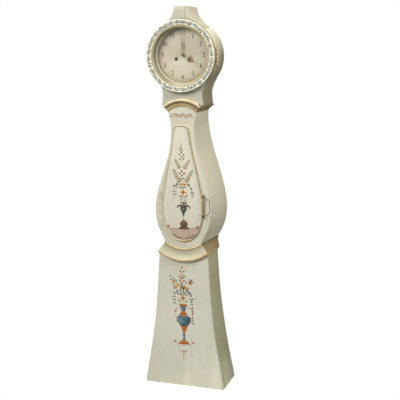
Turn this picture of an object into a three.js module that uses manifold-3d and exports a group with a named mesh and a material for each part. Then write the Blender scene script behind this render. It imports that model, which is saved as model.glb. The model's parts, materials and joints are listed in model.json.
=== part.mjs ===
// Painted Swedish-style longcase clock: flared base, gourd-shaped waist with a door,
// round hood that slides forward off the case, and an eight-day weight-driven movement.
// Millimetres, +Z up. The clock faces -Y; X is its width.
// The origin is the middle of the bounding box's underside.

import * as THREE from 'three';
import { mergeVertices } from 'three/addons/utils/BufferGeometryUtils.js';
import Module from 'manifold-3d';

const wasm = await Module();
wasm.setup();

// ---------------------------------------------------------------- driving dimensions

const HEIGHT = 2100;
const CASE_DEPTH = 237;          // front face of the boards to the back edge of the sides
const RING_PROUD = 30.5;         // how far the glazed hood door stands forward of that face
const GAP = 0.3;                 // working gap between neighbouring pieces

const FRONT_BOARD = 18;
const SIDE_BOARD = 12;
const BACK_BOARD = 12;
const HOOD_SHELL = 8;
const HOOD_DEPTH = 222;

// Half-widths of the case at a few heights, [height, half-width].
const BASE_FRONT = [[0, 232], [190, 198], [370, 170], [550, 153], [757, 139]];
const BASE_BACK = [[0, 232], [197, 191], [376, 162], [554, 141], [757, 127]];
const WAIST_FRONT = [
  [730, 104], [836, 105], [903, 141], [1003, 159], [1105, 145], [1240, 102],
  [1339, 74], [1437, 64], [1502, 69], [1548, 79], [1600, 76], [1760, 74],
];
const WAIST_BACK = [
  [730, 118], [836, 133], [897, 167], [1002, 184], [1105, 171], [1240, 134],
  [1341, 102], [1442, 80], [1509, 73], [1548, 74], [1600, 74], [1760, 74],
];

const BASE_TOP = 757;
const WAIST_STEP = 42;           // height of one facet of the waist's curve
const WAIST_BOTTOM = BASE_TOP + GAP;
const SEAT_Z = 1758;             // underside of the board that carries the movement
const SEAT_THICK = 17;

// Moulding between base and waist: an arc that sags, seen from the front.
const COLLAR_ARC_Z = 965;
const COLLAR_ARC_ANGLE = 37.3;
const COLLAR_IN = 168;
const COLLAR_OUT = 240;
const COLLAR_TOP = 832;
const COLLAR_CLEAR = 1.3;        // between its returns and the curved sides they wrap
const COLLAR_JOINT = 232;        // radius of the joint hidden behind the moulding

// Moulding between waist and hood: an arc that rises.
const THROAT_ARC_Z = 1449;
const THROAT_ARC_ANGLE = 39.5;
const THROAT_IN = 126;
const THROAT_OUT = 170;
const THROAT_BOTTOM = 1545;
const HOOD_BOTTOM = 1580;

// Waist door, a teardrop hung on its left edge.
const DOOR_X = 2;
const DOOR_LEAN = 0.0175;        // the door leans to the left, from this height up
const DOOR_LEAN_FROM = 1020;
const DOOR_HALF_OUTLINE = [
  [0, 837], [52, 851], [95, 903], [118.5, 1022], [96, 1184], [61, 1345], [44, 1448], [36, 1469],
];
const DOOR_TOP = 1476;
const DOOR_LIP = 5;              // how far the door stands forward of the frame
const DOOR_LAP = 9;              // how far its lip covers the frame
const DOOR_PLUG = 12;            // how deep it enters the opening
const DOOR_BEAD = 7;
const DOOR_BEAD_PROUD = 4;
const DOOR_HINGE_X = -123.5;
const BAIL_X = 118.5;
const DOOR_HINGE_HEIGHTS = [945, 1095];

// Hood and its round glazed door.
const HOOD_Z = 1842;
const HOOD_R = 183;
const HOOD_TAPER = 0.075;        // share of its width that the hood loses towards the back
const NECK = [[HOOD_BOTTOM, 114], [1608, 112], [1635, 108], [1662, 112], [1684, 119], [1725, 141]];
const HOOD_OPENING_R = 150;      // at the front of its board
const HOOD_OPENING_BACK_R = 143;
const RING_R = 190.6;
const RING_FACE_R = 163;
const GLASS_SIGHT_R = 147.3;
const RING_HINGE_X = 194.8;
const CHIMNEY_FRONT = -12;
const CHIMNEY_BACK = 158;

// Movement.
const DIAL_Z = 1848;
const DIAL_Y = 20;
const DIAL_R = 158;
const MINUTE_HAND_SHORT = 0.09;  // how far the minute hand is from twelve, in radians
const PLATE_HALF = 62;
const PLATE_BOTTOM = SEAT_Z + SEAT_THICK + GAP;
const PLATE_TOP = 1926;
const FRONT_PLATE_Y = 28;
const BACK_PLATE_Y = 88;
const PLATE_THICK = 3;
const PILLAR_X = 54;
const WINDING_X = 37;
const WINDING_Z = DIAL_Z - 23;
const THIRD = { x: -18, z: DIAL_Z + 22.7 };
const ESCAPE_Z = DIAL_Z + 38.6;
const MINUTE = { x: 20, z: DIAL_Z + 14 };
const CANNON_R = 5.9;            // leaves of the pinion that carries the minute hand
const MINUTE_R = 18;
const MINUTE_PINION_R = 4.7;
const HOUR_R = 19.2;
const FLY = { x: 38, z: DIAL_Z + 44 };
const HAMMER = { x: 44, z: 1908 };
const BELL = { y: 60, z: 1944 };
const DRUM_R = 13;
const PENDULUM_Y = 104;
const PIVOT_Z = 1912;            // anchor arbor and pendulum suspension share this height
const PENDULUM_LENGTH = 994;
const BOB_R = 60;
const WEIGHT_R = 19.5;
const WEIGHT_BOTTOM = 300;
const WEIGHT_HEIGHT = 230;
const LINE_X = WINDING_X - DRUM_R - 1.3;   // each line hangs just inside its drum
const LINE_Y = 48;
const LINE_R = 1;

const FRONT_Y = -(CASE_DEPTH + RING_PROUD) / 2 + RING_PROUD;   // front face of the boards

// ---------------------------------------------------------------- materials

function paint(color, roughness = 0.75, metalness = 0) {
  return new THREE.MeshStandardMaterial({ color, roughness, metalness });
}

const materials = {
  cream: paint(0xd8d5bf),
  doorCream: paint(0xddd6bd),
  gilding: paint(0xb4945a, 0.5, 0.2),
  rawWood: paint(0x8b6b47),
  dial: paint(0xcdbf9f, 0.7),
  brass: paint(0xb08a45, 0.4, 1),
  iron: paint(0x3b352f, 0.6, 0.8),
  glass: paint(0xe8efec, 0.05),
  lead: paint(0x6d6a64, 0.6, 0.6),
  gut: paint(0xb59a68, 0.8),
};

// ---------------------------------------------------------------- solids

function bare(geometry) {
  geometry.deleteAttribute('normal');
  geometry.deleteAttribute('uv');
  return mergeVertices(geometry, 1e-4);
}

function toSolid(geometry) {
  const mesh = bare(geometry);
  const vertProperties = Float32Array.from(mesh.attributes.position.array);
  const triVerts = Uint32Array.from(mesh.index.array);
  return new wasm.Manifold(new wasm.Mesh({ numProp: 3, vertProperties, triVerts }));
}

function toGeometry(solid) {
  const mesh = solid.getMesh();
  const geometry = new THREE.BufferGeometry();
  geometry.setAttribute('position', new THREE.BufferAttribute(mesh.vertProperties, 3));
  geometry.setIndex(new THREE.BufferAttribute(mesh.triVerts, 1));
  return geometry;
}

function join(first, ...others) {
  return toGeometry(others.reduce((sum, next) => sum.add(toSolid(next)), toSolid(first)));
}

function cut(first, ...others) {
  return toGeometry(others.reduce((rest, next) => rest.subtract(toSolid(next)), toSolid(first)));
}

function overlap(first, second) {
  return toGeometry(toSolid(first).intersect(toSolid(second)));
}

// A shape drawn in X and Z, running from y0 back to y1.
function plate(shape, y0, y1, curveSegments = 24) {
  const geometry = new THREE.ExtrudeGeometry(shape, { depth: y1 - y0, bevelEnabled: false, curveSegments });
  return geometry.rotateX(Math.PI / 2).translate(0, y1, 0);
}

function box(x0, x1, y0, y1, z0, z1) {
  const geometry = new THREE.BoxGeometry(x1 - x0, y1 - y0, z1 - z0);
  return geometry.translate((x0 + x1) / 2, (y0 + y1) / 2, (z0 + z1) / 2);
}

function barY(radius, x, z, y0, y1, segments = 24) {
  const geometry = new THREE.CylinderGeometry(radius, radius, y1 - y0, segments);
  return geometry.translate(x, (y0 + y1) / 2, z);
}

function barZ(radius, x, y, z0, z1, segments = 16) {
  const geometry = new THREE.CylinderGeometry(radius, radius, z1 - z0, segments);
  return geometry.rotateX(Math.PI / 2).translate(x, y, (z0 + z1) / 2);
}

// A profile of [radius, y] points turned about a line along Y through (x, z).
function turnedY(profile, x, z, segments = 64) {
  const points = profile.map(([r, y]) => new THREE.Vector2(r, y));
  if (THREE.ShapeUtils.area(points) < 0) points.reverse();
  const onAxis = points.some((point) => point.x === 0);
  if (!onAxis) points.push(points[0].clone());
  const geometry = new THREE.LatheGeometry(points, segments);
  return geometry.translate(x, 0, z);
}

// The same, turned about a vertical line.
function turnedZ(profile, x, y, segments = 48) {
  const geometry = turnedY(profile, 0, 0, segments);
  return geometry.rotateX(Math.PI / 2).translate(x, y, 0);
}

// Moves every vertex of a geometry.
function bend(geometry, move) {
  const position = geometry.attributes.position;
  const point = new THREE.Vector3();
  for (let i = 0; i < position.count; i++) {
    point.fromBufferAttribute(position, i);
    move(point);
    position.setXYZ(i, point.x, point.y, point.z);
  }
  return geometry;
}

function mirrored(geometry) {
  const copy = toGeometry(toSolid(geometry.clone()));
  bend(copy, (point) => { point.x = -point.x; });
  const index = copy.index.array;
  for (let i = 0; i < index.length; i += 3) {
    [index[i], index[i + 1]] = [index[i + 1], index[i]];
  }
  return copy;
}

// ---------------------------------------------------------------- outlines

// Value at height z on a smooth curve through stations of [height, value].
function valueAt(stations, z) {
  const last = stations.length - 1;
  let i = 0;
  while (i < last - 1 && z > stations[i + 1][0]) i++;
  const [z0, v0] = stations[i];
  const [z1, v1] = stations[i + 1];
  const before = stations[Math.max(i - 1, 0)];
  const after = stations[Math.min(i + 2, last)];
  const slope0 = (v1 - before[1]) / (z1 - before[0]);
  const slope1 = (after[1] - v0) / (after[0] - z0);
  const span = z1 - z0;
  const t = THREE.MathUtils.clamp((z - z0) / span, 0, 1);
  const t2 = t * t;
  const t3 = t2 * t;
  return v0 * (2 * t3 - 3 * t2 + 1) + slope0 * span * (t3 - 2 * t2 + t)
    + v1 * (3 * t2 - 2 * t3) + slope1 * span * (t3 - t2);
}

function heights(z0, z1, step) {
  const count = Math.max(1, Math.round((z1 - z0) / step));
  return Array.from({ length: count + 1 }, (_, i) => z0 + ((z1 - z0) * i) / count);
}

// Heights at which the waist's curved edge is drawn, shared by every piece that lies along it.
function waistHeights(z1) {
  const rows = heights(WAIST_BOTTOM, COLLAR_TOP, 12.5);
  for (let z = COLLAR_TOP + WAIST_STEP; z < z1 - WAIST_STEP / 4; z += WAIST_STEP) rows.push(z);
  return [...rows, z1];
}

function arcPoints(radius, centreZ, fromAngle, toAngle, count) {
  return Array.from({ length: count + 1 }, (_, i) => {
    const angle = fromAngle + ((toAngle - fromAngle) * i) / count;
    return new THREE.Vector2(radius * Math.cos(angle), centreZ + radius * Math.sin(angle));
  });
}

function symmetricShape(rightSide) {
  const leftSide = rightSide.map((point) => new THREE.Vector2(-point.x, point.y)).reverse();
  return new THREE.Shape([...rightSide, ...leftSide]);
}

// The teardrop of the waist door, drawn inset by some distance.
function doorOutline(inset) {
  const right = DOOR_HALF_OUTLINE.slice(1).map(([x, z]) => new THREE.Vector2(x, z));
  const left = right.map((point) => new THREE.Vector2(-point.x, point.y)).reverse();
  const bottom = new THREE.Vector2(0, DOOR_HALF_OUTLINE[0][1]);
  const top = new THREE.Vector2(0, DOOR_TOP);
  const loop = [bottom, ...right, top, ...left];
  const moved = loop.map((point, i) => {
    const along = loop[(i + 1) % loop.length].clone().sub(loop[(i + loop.length - 1) % loop.length]);
    const inward = new THREE.Vector2(-along.y, along.x).normalize();
    const lean = DOOR_LEAN * Math.max(0, point.y - DOOR_LEAN_FROM);
    return new THREE.Vector3(point.x + DOOR_X - lean + inward.x * inset, point.y + inward.y * inset, 0);
  });
  const curve = new THREE.CatmullRomCurve3(moved, true, 'centripetal');
  return curve.getPoints(56).slice(0, -1).map((point) => new THREE.Vector2(point.x, point.y));
}

// ---------------------------------------------------------------- the assembly

const clock = new THREE.Group();
clock.position.y = FRONT_Y;      // inside the group, y = 0 is the front face of the boards

function piece(name, geometry, material) {
  const mesh = new THREE.Mesh(geometry, material);
  mesh.name = name;
  clock.add(mesh);
}

function leftAndRight(stem, rightGeometry, material) {
  piece(`${stem}_right`, rightGeometry, material);
  piece(`${stem}_left`, mirrored(rightGeometry), material);
}

// A curved side board between a front outline and a back outline.
function sideBoard(front, back, rows) {
  const outer = rows.map((z) => new THREE.Vector2(valueAt(front, z), z));
  const inner = rows.map((z) => new THREE.Vector2(valueAt(front, z) - SIDE_BOARD, z)).reverse();
  const geometry = plate(new THREE.Shape([...outer, ...inner]), FRONT_BOARD + GAP, CASE_DEPTH);
  return bend(geometry, (point) => {
    point.x += (valueAt(back, point.z) - valueAt(front, point.z)) * (point.y / CASE_DEPTH);
  });
}

function buildBase() {
  const rows = heights(0, BASE_TOP, 58);
  const side = rows.map((z) => new THREE.Vector2(valueAt(BASE_FRONT, z), z));
  const dip = Math.acos((COLLAR_ARC_Z - BASE_TOP) / COLLAR_JOINT);
  const right = arcPoints(COLLAR_JOINT, COLLAR_ARC_Z, dip - Math.PI / 2, -Math.PI / 2, 8).slice(0, -1);
  const front = symmetricShape([...side, ...right]);
  piece('base_front_board', plate(front, 0, FRONT_BOARD), materials.cream);
  leftAndRight('base_side', sideBoard(BASE_FRONT, BASE_BACK, rows), materials.cream);
  piece('base_bottom_board', box(-213, 213, FRONT_BOARD + GAP, 224, 8, 24), materials.rawWood);

  const deck = box(-112, 112, FRONT_BOARD + GAP, 224, BASE_TOP - 16, BASE_TOP);
  const well = box(-84, 84, 24, 205, BASE_TOP - 20, BASE_TOP + 4);
  piece('base_top_frame', cut(deck, well), materials.rawWood);
}

function buildBackBoard() {
  const inset = SIDE_BOARD + 2.5;
  const lower = heights(0, BASE_TOP, 60).map((z) => new THREE.Vector2(valueAt(BASE_BACK, z) - inset, z));
  const middle = waistHeights(HOOD_BOTTOM).map((z) => new THREE.Vector2(valueAt(WAIST_BACK, z) - inset, z));
  const upper = [new THREE.Vector2(59.5, SEAT_Z + 6), new THREE.Vector2(120, SEAT_Z + 14)];
  const crown = arcPoints(156, HOOD_Z, -0.4, Math.PI / 2, 12).slice(0, -1);
  const shape = symmetricShape([...lower, ...middle, ...upper, ...crown]);
  const y0 = CASE_DEPTH - BACK_BOARD;
  piece('back_board', plate(shape, y0, CASE_DEPTH), materials.rawWood);
}

function splay(point) {
  const spread = valueAt(WAIST_BACK, point.z) - valueAt(WAIST_FRONT, point.z);
  point.x += Math.sign(point.x) * spread * (point.y / CASE_DEPTH);
}

function buildWaist() {
  const board = sideBoard(WAIST_FRONT, WAIST_BACK, waistHeights(SEAT_Z - GAP));
  const dialRoom = box(50, 90, 0, DIAL_Y + 6, HOOD_BOTTOM + 30, SEAT_Z + 5);
  leftAndRight('waist_side', cut(board, dialRoom), materials.cream);

  const foot = valueAt(WAIST_FRONT, WAIST_BOTTOM);
  const footRadius = COLLAR_JOINT - 3 * GAP;
  const footAngle = Math.asin(foot / footRadius);
  const bottom = arcPoints(footRadius, COLLAR_ARC_Z, -Math.PI / 2, footAngle - Math.PI / 2, 8).slice(1);
  const side = waistHeights(HOOD_BOTTOM - 1).slice(1).map((z) => new THREE.Vector2(valueAt(WAIST_FRONT, z), z));
  const topRadius = THROAT_OUT - GAP;
  const shoulder = Math.acos(side.at(-1).x / topRadius);
  const top = arcPoints(topRadius, THROAT_ARC_Z, shoulder, Math.PI / 2, 6).slice(0, -1);
  const frame = symmetricShape([...bottom, ...side, ...top]);
  frame.holes.push(new THREE.Path(doorOutline(DOOR_LAP)));
  piece('waist_front_frame', bend(plate(frame, 0, FRONT_BOARD), (point) => {
    const onEdge = Math.abs(point.x) > valueAt(WAIST_FRONT, point.z) - 1;
    if (onEdge) splay(point);
  }), materials.cream);
}

// ---------------------------------------------------------------- mouldings

function buildCollar() {
  const profile = [
    [COLLAR_IN, -GAP], [COLLAR_IN, -3.5], [172.5, -5.2], [177, -3], [190, -2.6], [206, -5],
    [221, -12], [226, -18], [232, -19.5], [238, -17], [COLLAR_OUT, -12], [COLLAR_OUT, -GAP],
  ];
  piece('collar_front', arcMoulding(profile, COLLAR_ARC_Z, COLLAR_ARC_ANGLE, true), materials.cream);

  // How far the return stands out from the waist at each height, at the front.
  const stations = [
    [BASE_TOP + GAP, 36], [762, 40], [768, 41], [774, 39], [780, 34], [790, 24],
    [802, 13], [814, 7], [820, 4], [824, 5.5], [829, 5], [COLLAR_TOP, 3],
  ];
  const outer = stations.map(([z, out]) => new THREE.Vector2(valueAt(WAIST_FRONT, z) + out, z));
  const inner = heights(WAIST_BOTTOM, COLLAR_TOP, 12.5)
    .map((z) => new THREE.Vector2(valueAt(WAIST_FRONT, z) + COLLAR_CLEAR, z)).reverse();
  const geometry = plate(new THREE.Shape([...outer, ...inner]), 0, CASE_DEPTH);
  leftAndRight('collar', bend(geometry, (point) => {
    const waist = valueAt(WAIST_FRONT, point.z);
    const fade = 1 - 0.62 * (point.y / CASE_DEPTH);
    const out = point.x - waist;
    point.x = waist + (out > COLLAR_CLEAR + GAP ? Math.max(out * fade, COLLAR_CLEAR + 1.6) : out);
    splay(point);
  }), materials.cream);
}

function buildThroat() {
  const profile = [
    [THROAT_IN, -GAP], [THROAT_IN, -2.5], [130, -4], [143, -5], [151, -8], [154, -12], [160, -14],
    [166, -12.5], [THROAT_OUT, -6], [THROAT_OUT, -GAP],
  ];
  const clearOfHood = [-1, 1].map((side) => box(side * 110 - 13.5, side * 110 + 13.5, -40, 0, HOOD_BOTTOM - GAP, 1640));
  const arch = arcMoulding(profile, THROAT_ARC_Z, THROAT_ARC_ANGLE, false);
  piece('throat_front', cut(arch, ...clearOfHood), materials.gilding);

  const stations = [
    [THROAT_BOTTOM, 2], [1550, 4], [1557, 10], [1563, 17], [1567, 23], [1569, 28], [1573, 31], [1577, 31],
    [HOOD_BOTTOM - GAP, 29],
  ];
  const outer = stations.map(([z, out]) => new THREE.Vector2(valueAt(WAIST_FRONT, z) + out, z));
  const inner = stations.map(([z]) => new THREE.Vector2(valueAt(WAIST_FRONT, z) + 2 * GAP, z)).reverse();
  const geometry = plate(new THREE.Shape([...outer, ...inner]), 0, CASE_DEPTH);
  leftAndRight('throat', bend(geometry, splay), materials.gilding);
}

// Part of a moulding turned about a line along Y, spreading equally to both sides of up or down.
function arcMoulding(profile, centreZ, halfAngle, down) {
  const ring = turnedY(profile, 0, centreZ, 96);
  const reach = profile[0][0] * 3;
  const half = THREE.MathUtils.degToRad(halfAngle);
  const tip = down ? -1 : 1;
  const corner = new THREE.Vector2(Math.sin(half) * reach, centreZ + tip * Math.cos(half) * reach);
  const opposite = new THREE.Vector2(-corner.x, corner.y);
  const wedge = new THREE.Shape([new THREE.Vector2(0, centreZ), corner, opposite]);
  return overlap(ring, plate(wedge, -60, 60));
}

// ---------------------------------------------------------------- waist door

function hinge(x, y, z0, z1, knuckleRadius, count, fixedSide, movingSide) {
  const pin = knuckleRadius * 0.45;
  const pitch = (z1 - z0) / count;
  const fixed = [barZ(pin, x, y, z0, z1), fixedSide];
  const moving = [movingSide];
  for (let i = 0; i < count; i++) {
    const low = z0 + i * pitch + (i === 0 ? 0 : GAP / 2);
    const high = z0 + (i + 1) * pitch - (i === count - 1 ? 0 : GAP / 2);
    (i % 2 === 0 ? fixed : moving).push(barZ(knuckleRadius, x, y, low, high));
  }
  const clearance = knuckleRadius + GAP;
  const keepOff = (parity) => {
    const blocks = [];
    for (let i = 0; i < count; i++) {
      if (i % 2 !== parity) continue;
      blocks.push(barZ(clearance, x, y, z0 + i * pitch - GAP / 2, z0 + (i + 1) * pitch + GAP / 2));
    }
    return blocks;
  };
  const fixedLeaf = cut(fixed[1], ...keepOff(1));
  const movingLeaf = cut(moving[0], ...keepOff(0));
  return {
    fixed: join(fixed[0], fixedLeaf, ...fixed.slice(2)),
    moving: cut(join(movingLeaf, ...moving.slice(1)), barZ(pin + GAP, x, y, z0 - 1, z1 + 1)),
  };
}

function buildWaistDoor() {
  const lip = plate(new THREE.Shape(doorOutline(0)), -GAP - DOOR_LIP, -GAP);
  const plug = plate(new THREE.Shape(doorOutline(DOOR_LAP + 1.5)), -GAP - 0.5, DOOR_PLUG);
  const leafY = -2.3;
  const hinges = DOOR_HINGE_HEIGHTS.map((z) => {
    const fixedSide = box(DOOR_HINGE_X - 10, DOOR_HINGE_X, leafY + 0.2, leafY + 2, z - 24, z + 24);
    const movingSide = box(DOOR_HINGE_X, DOOR_HINGE_X + 34, leafY, leafY + 1.5, z - 24, z + 24);
    return hinge(DOOR_HINGE_X, -4, z - 24, z + 24, 3.2, 3, fixedSide, movingSide);
  });
  const pockets = DOOR_HINGE_HEIGHTS.flatMap((z) => [
    box(DOOR_HINGE_X, DOOR_HINGE_X + 34.4, leafY - GAP, 0, z - 24.3, z + 24.3),
    barZ(3.6, DOOR_HINGE_X, -4, z - 24.3, z + 24.3),
  ]);
  piece('waist_door', cut(join(lip, plug), ...pockets), materials.doorCream);
  const names = ['lower', 'upper'];
  hinges.forEach((pair, i) => {
    piece(`door_hinge_${names[i]}`, pair.fixed, materials.iron);
    piece(`door_hinge_leaf_${names[i]}`, pair.moving, materials.iron);
  });

  const beadShape = new THREE.Shape(doorOutline(0.5));
  beadShape.holes.push(new THREE.Path(doorOutline(DOOR_BEAD)));
  const beadBack = -2 * GAP - DOOR_LIP;
  const strip = box(BAIL_X - 8, BAIL_X + 6.5, beadBack - DOOR_BEAD_PROUD, beadBack, 972, 1107);
  const bead = join(plate(beadShape, beadBack - DOOR_BEAD_PROUD, beadBack), strip);
  const posts = buildBail(beadBack - DOOR_BEAD_PROUD);
  piece('door_bead', cut(bead, ...posts), materials.gilding);
}

function buildBail(beadFace) {
  const x = BAIL_X;
  const swingY = beadFace - 9;
  const postHeights = [986, 1093];
  const names = ['lower', 'upper'];
  const clear = [];
  postHeights.forEach((z, i) => {
    const shank = barY(3.2, x, z, swingY - 4, -2 * GAP - DOOR_LIP);
    const eye = barZ(5, x, swingY, z - 4, z + 4);
    const bore = barZ(2.2, x, swingY, z - 6, z + 6);
    piece(`bail_post_${names[i]}`, cut(join(shank, eye), bore), materials.iron);
    clear.push(barY(3.6, x, z, beadFace - 1, 0));
  });
  piece('door_bail', bailHandle(x, swingY, postHeights), materials.iron);
  return clear;
}

// A wire loop whose two ends pass through the posts' eyes and curl over beyond them.
function bailHandle(x, y, [low, high]) {
  const reach = 38;
  const wire = 1.8;
  const route = [
    [0, low - 9], [0, low], [0, low + 7], [8, low + 11], [24, low + 9], [reach - 6, low + 13],
    [reach, low + 28], [reach, high - 28], [reach - 6, high - 13], [24, high - 9], [8, high - 11],
    [0, high - 7], [0, high], [0, high + 9],
  ];
  const curve = new THREE.CatmullRomCurve3(route.map(([out, z]) => new THREE.Vector3(x + out, y, z)));
  const section = new THREE.Shape();
  section.absarc(0, 0, wire, 0, 2 * Math.PI);
  return new THREE.ExtrudeGeometry(section, { steps: 44, extrudePath: curve, curveSegments: 3 });
}

// ---------------------------------------------------------------- hood

function hoodNarrowing(point) {
  point.x *= 1 - HOOD_TAPER * (point.y / HOOD_DEPTH);
}

function hoodSide(inset) {
  const neckTop = NECK.at(-1)[0];
  const shoulder = Math.asin((neckTop - HOOD_Z) / HOOD_R) + 0.06;
  const neck = heights(HOOD_BOTTOM, neckTop, 21).map((z) => new THREE.Vector2(valueAt(NECK, z) - inset, z));
  const round = arcPoints(HOOD_R - inset, HOOD_Z, shoulder, Math.PI / 2, 20);
  return [...neck, ...round];
}

function buildHood() {
  const neckFoot = THROAT_OUT + GAP;
  const footAngle = Math.acos(107 / neckFoot);
  const foot = arcPoints(neckFoot, THROAT_ARC_Z, Math.PI / 2, footAngle, 6).slice(1);
  const board = symmetricShape([...foot, ...hoodSide(0).slice(0, -1)]);
  const opening = turnedY([
    [0, -1], [HOOD_OPENING_R, -1], [HOOD_OPENING_R, 1], [HOOD_OPENING_BACK_R, FRONT_BOARD], [HOOD_OPENING_BACK_R, 30], [0, 30],
  ], 0, HOOD_Z, 56);

  const hingePitch = 98;
  const z0 = HOOD_Z - 6 - hingePitch / 2;
  const z1 = z0 + hingePitch;
  const hingeY = -0.2;
  const fixedSide = box(168, RING_HINGE_X, 0.2, 1.7, z0, z1);
  const movingSide = box(168, RING_HINGE_X, -2.1, -0.6, z0, z1);
  const pair = hinge(RING_HINGE_X, hingeY, z0, z1, 3.6, 5, fixedSide, movingSide);
  const fixedPocket = box(167.6, 200, -1, 2, z0 - GAP, z1 + GAP);
  const movingPocket = box(167.6, 200, -2.4, 1, z0 - GAP, z1 + GAP);

  const frontBoard = plate(board, 0, FRONT_BOARD, 28);
  piece('hood_front_board', cut(frontBoard, opening, fixedPocket), materials.cream);
  piece('ring_hinge', pair.fixed, materials.brass);
  piece('ring_hinge_leaf', pair.moving, materials.brass);

  const outer = hoodSide(0);
  const inner = hoodSide(HOOD_SHELL).reverse();
  const strip = [...outer, ...inner].map((point) => new THREE.Vector2(Math.max(point.x, GAP / 2), point.y));
  const shell = plate(new THREE.Shape(strip), FRONT_BOARD + GAP, HOOD_DEPTH);
  leftAndRight('hood_shell', bend(shell, hoodNarrowing), materials.cream);

  buildChimney();
  buildRingDoor(movingPocket);
}

function buildChimney() {
  const right = [
    [107, 1992], [85.6, 2011], [78, 2019], [68.6, 2027], [63.5, 2033], [55.5, 2044], [50.5, 2052],
    [45.5, 2060], [38.3, 2078], [33.5, HEIGHT],
  ];
  const block = plate(symmetricShape(right.map(([x, z]) => new THREE.Vector2(x, z))), CHIMNEY_FRONT, CHIMNEY_BACK);
  const overDoor = barY(RING_R + 2.5, 0, HOOD_Z, CHIMNEY_FRONT - 5, 0, 96);
  const drum = bend(barY(HOOD_R + 3 * GAP, 0, HOOD_Z, -1, CHIMNEY_BACK + 20, 96), hoodNarrowing);
  piece('chimney_block', cut(block, overDoor, drum), materials.cream);
}

function buildRingDoor(hingePocket) {
  const back = -0.6;
  const rebate = -10;
  const profile = [
    [RING_R, back], [RING_R, -28.5], [188.8, -30.5], [RING_FACE_R, -28.5], [RING_FACE_R, rebate],
    [155.6, rebate], [155.6, -6.8], [GLASS_SIGHT_R, -6.8], [GLASS_SIGHT_R, back],
  ];
  piece('ring_door', cut(turnedY(profile, 0, HOOD_Z, 64), hingePocket), materials.cream);
  const bead = [
    [RING_FACE_R - GAP, rebate - GAP], [RING_FACE_R - GAP, -27.5], [159, -30], [153, -28.5], [149, -23],
    [GLASS_SIGHT_R, -16], [GLASS_SIGHT_R, rebate - GAP],
  ];
  piece('ring_bead', turnedY(bead, 0, HOOD_Z, 64), materials.gilding);
  piece('door_glass', barY(155.2, 0, HOOD_Z, -9.8, -7.2, 48), materials.glass);
}

// ---------------------------------------------------------------- movement

// A wheel with four arms on its arbor.
function spokedWheel(radius, x, z, y0, y1, hub, rim = 4) {
  const blank = barY(radius, x, z, y0, y1, 36);
  const windows = [];
  for (let i = 0; i < 4; i++) {
    const shape = new THREE.Shape();
    const start = (i * Math.PI) / 2 + 0.22;
    const end = ((i + 1) * Math.PI) / 2 - 0.22;
    shape.absarc(0, 0, radius - rim, start, end);
    shape.absarc(0, 0, hub + 3, end, start, true);
    windows.push(plate(shape, y0 - 1, y1 + 1, 2).translate(x, 0, z));
  }
  return cut(blank, ...windows);
}

function pillar(x, z) {
  return barY(4.5, x, z, FRONT_PLATE_Y + PLATE_THICK + GAP, BACK_PLATE_Y + 0.5, 10);
}

function buildFrame() {
  const holes = [];
  const pivots = [
    [0, DIAL_Z, 5.2], [WINDING_X, WINDING_Z, 5.4], [-WINDING_X, WINDING_Z, 5.4],
    [THIRD.x, THIRD.z, 2], [0, ESCAPE_Z, 2], [0, PIVOT_Z, 2.4], [MINUTE.x, MINUTE.z, 2], [FLY.x, FLY.z, 2],
    [HAMMER.x, HAMMER.z, 2.4],
  ];
  for (const [x, z, radius] of pivots) holes.push(barY(radius, x, z, FRONT_PLATE_Y - 5, BACK_PLATE_Y + 9, 10));
  const front = box(-PLATE_HALF, PLATE_HALF, FRONT_PLATE_Y, FRONT_PLATE_Y + PLATE_THICK, PLATE_BOTTOM, PLATE_TOP);
  const back = box(-PLATE_HALF, PLATE_HALF, BACK_PLATE_Y, BACK_PLATE_Y + PLATE_THICK, PLATE_BOTTOM, PLATE_TOP);
  const pillars = [PLATE_BOTTOM + 9, PLATE_TOP - 8].flatMap((z) => [pillar(-PILLAR_X, z), pillar(PILLAR_X, z)]);
  piece('front_plate', cut(front, ...holes), materials.brass);
  piece('back_plate', join(cut(back, ...holes), ...pillars), materials.brass);
}

function arbor(x, z, radius = 1.6, y0 = FRONT_PLATE_Y + 0.5, y1 = BACK_PLATE_Y + PLATE_THICK - 0.5) {
  return barY(radius, x, z, y0, y1, 10);
}

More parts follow.
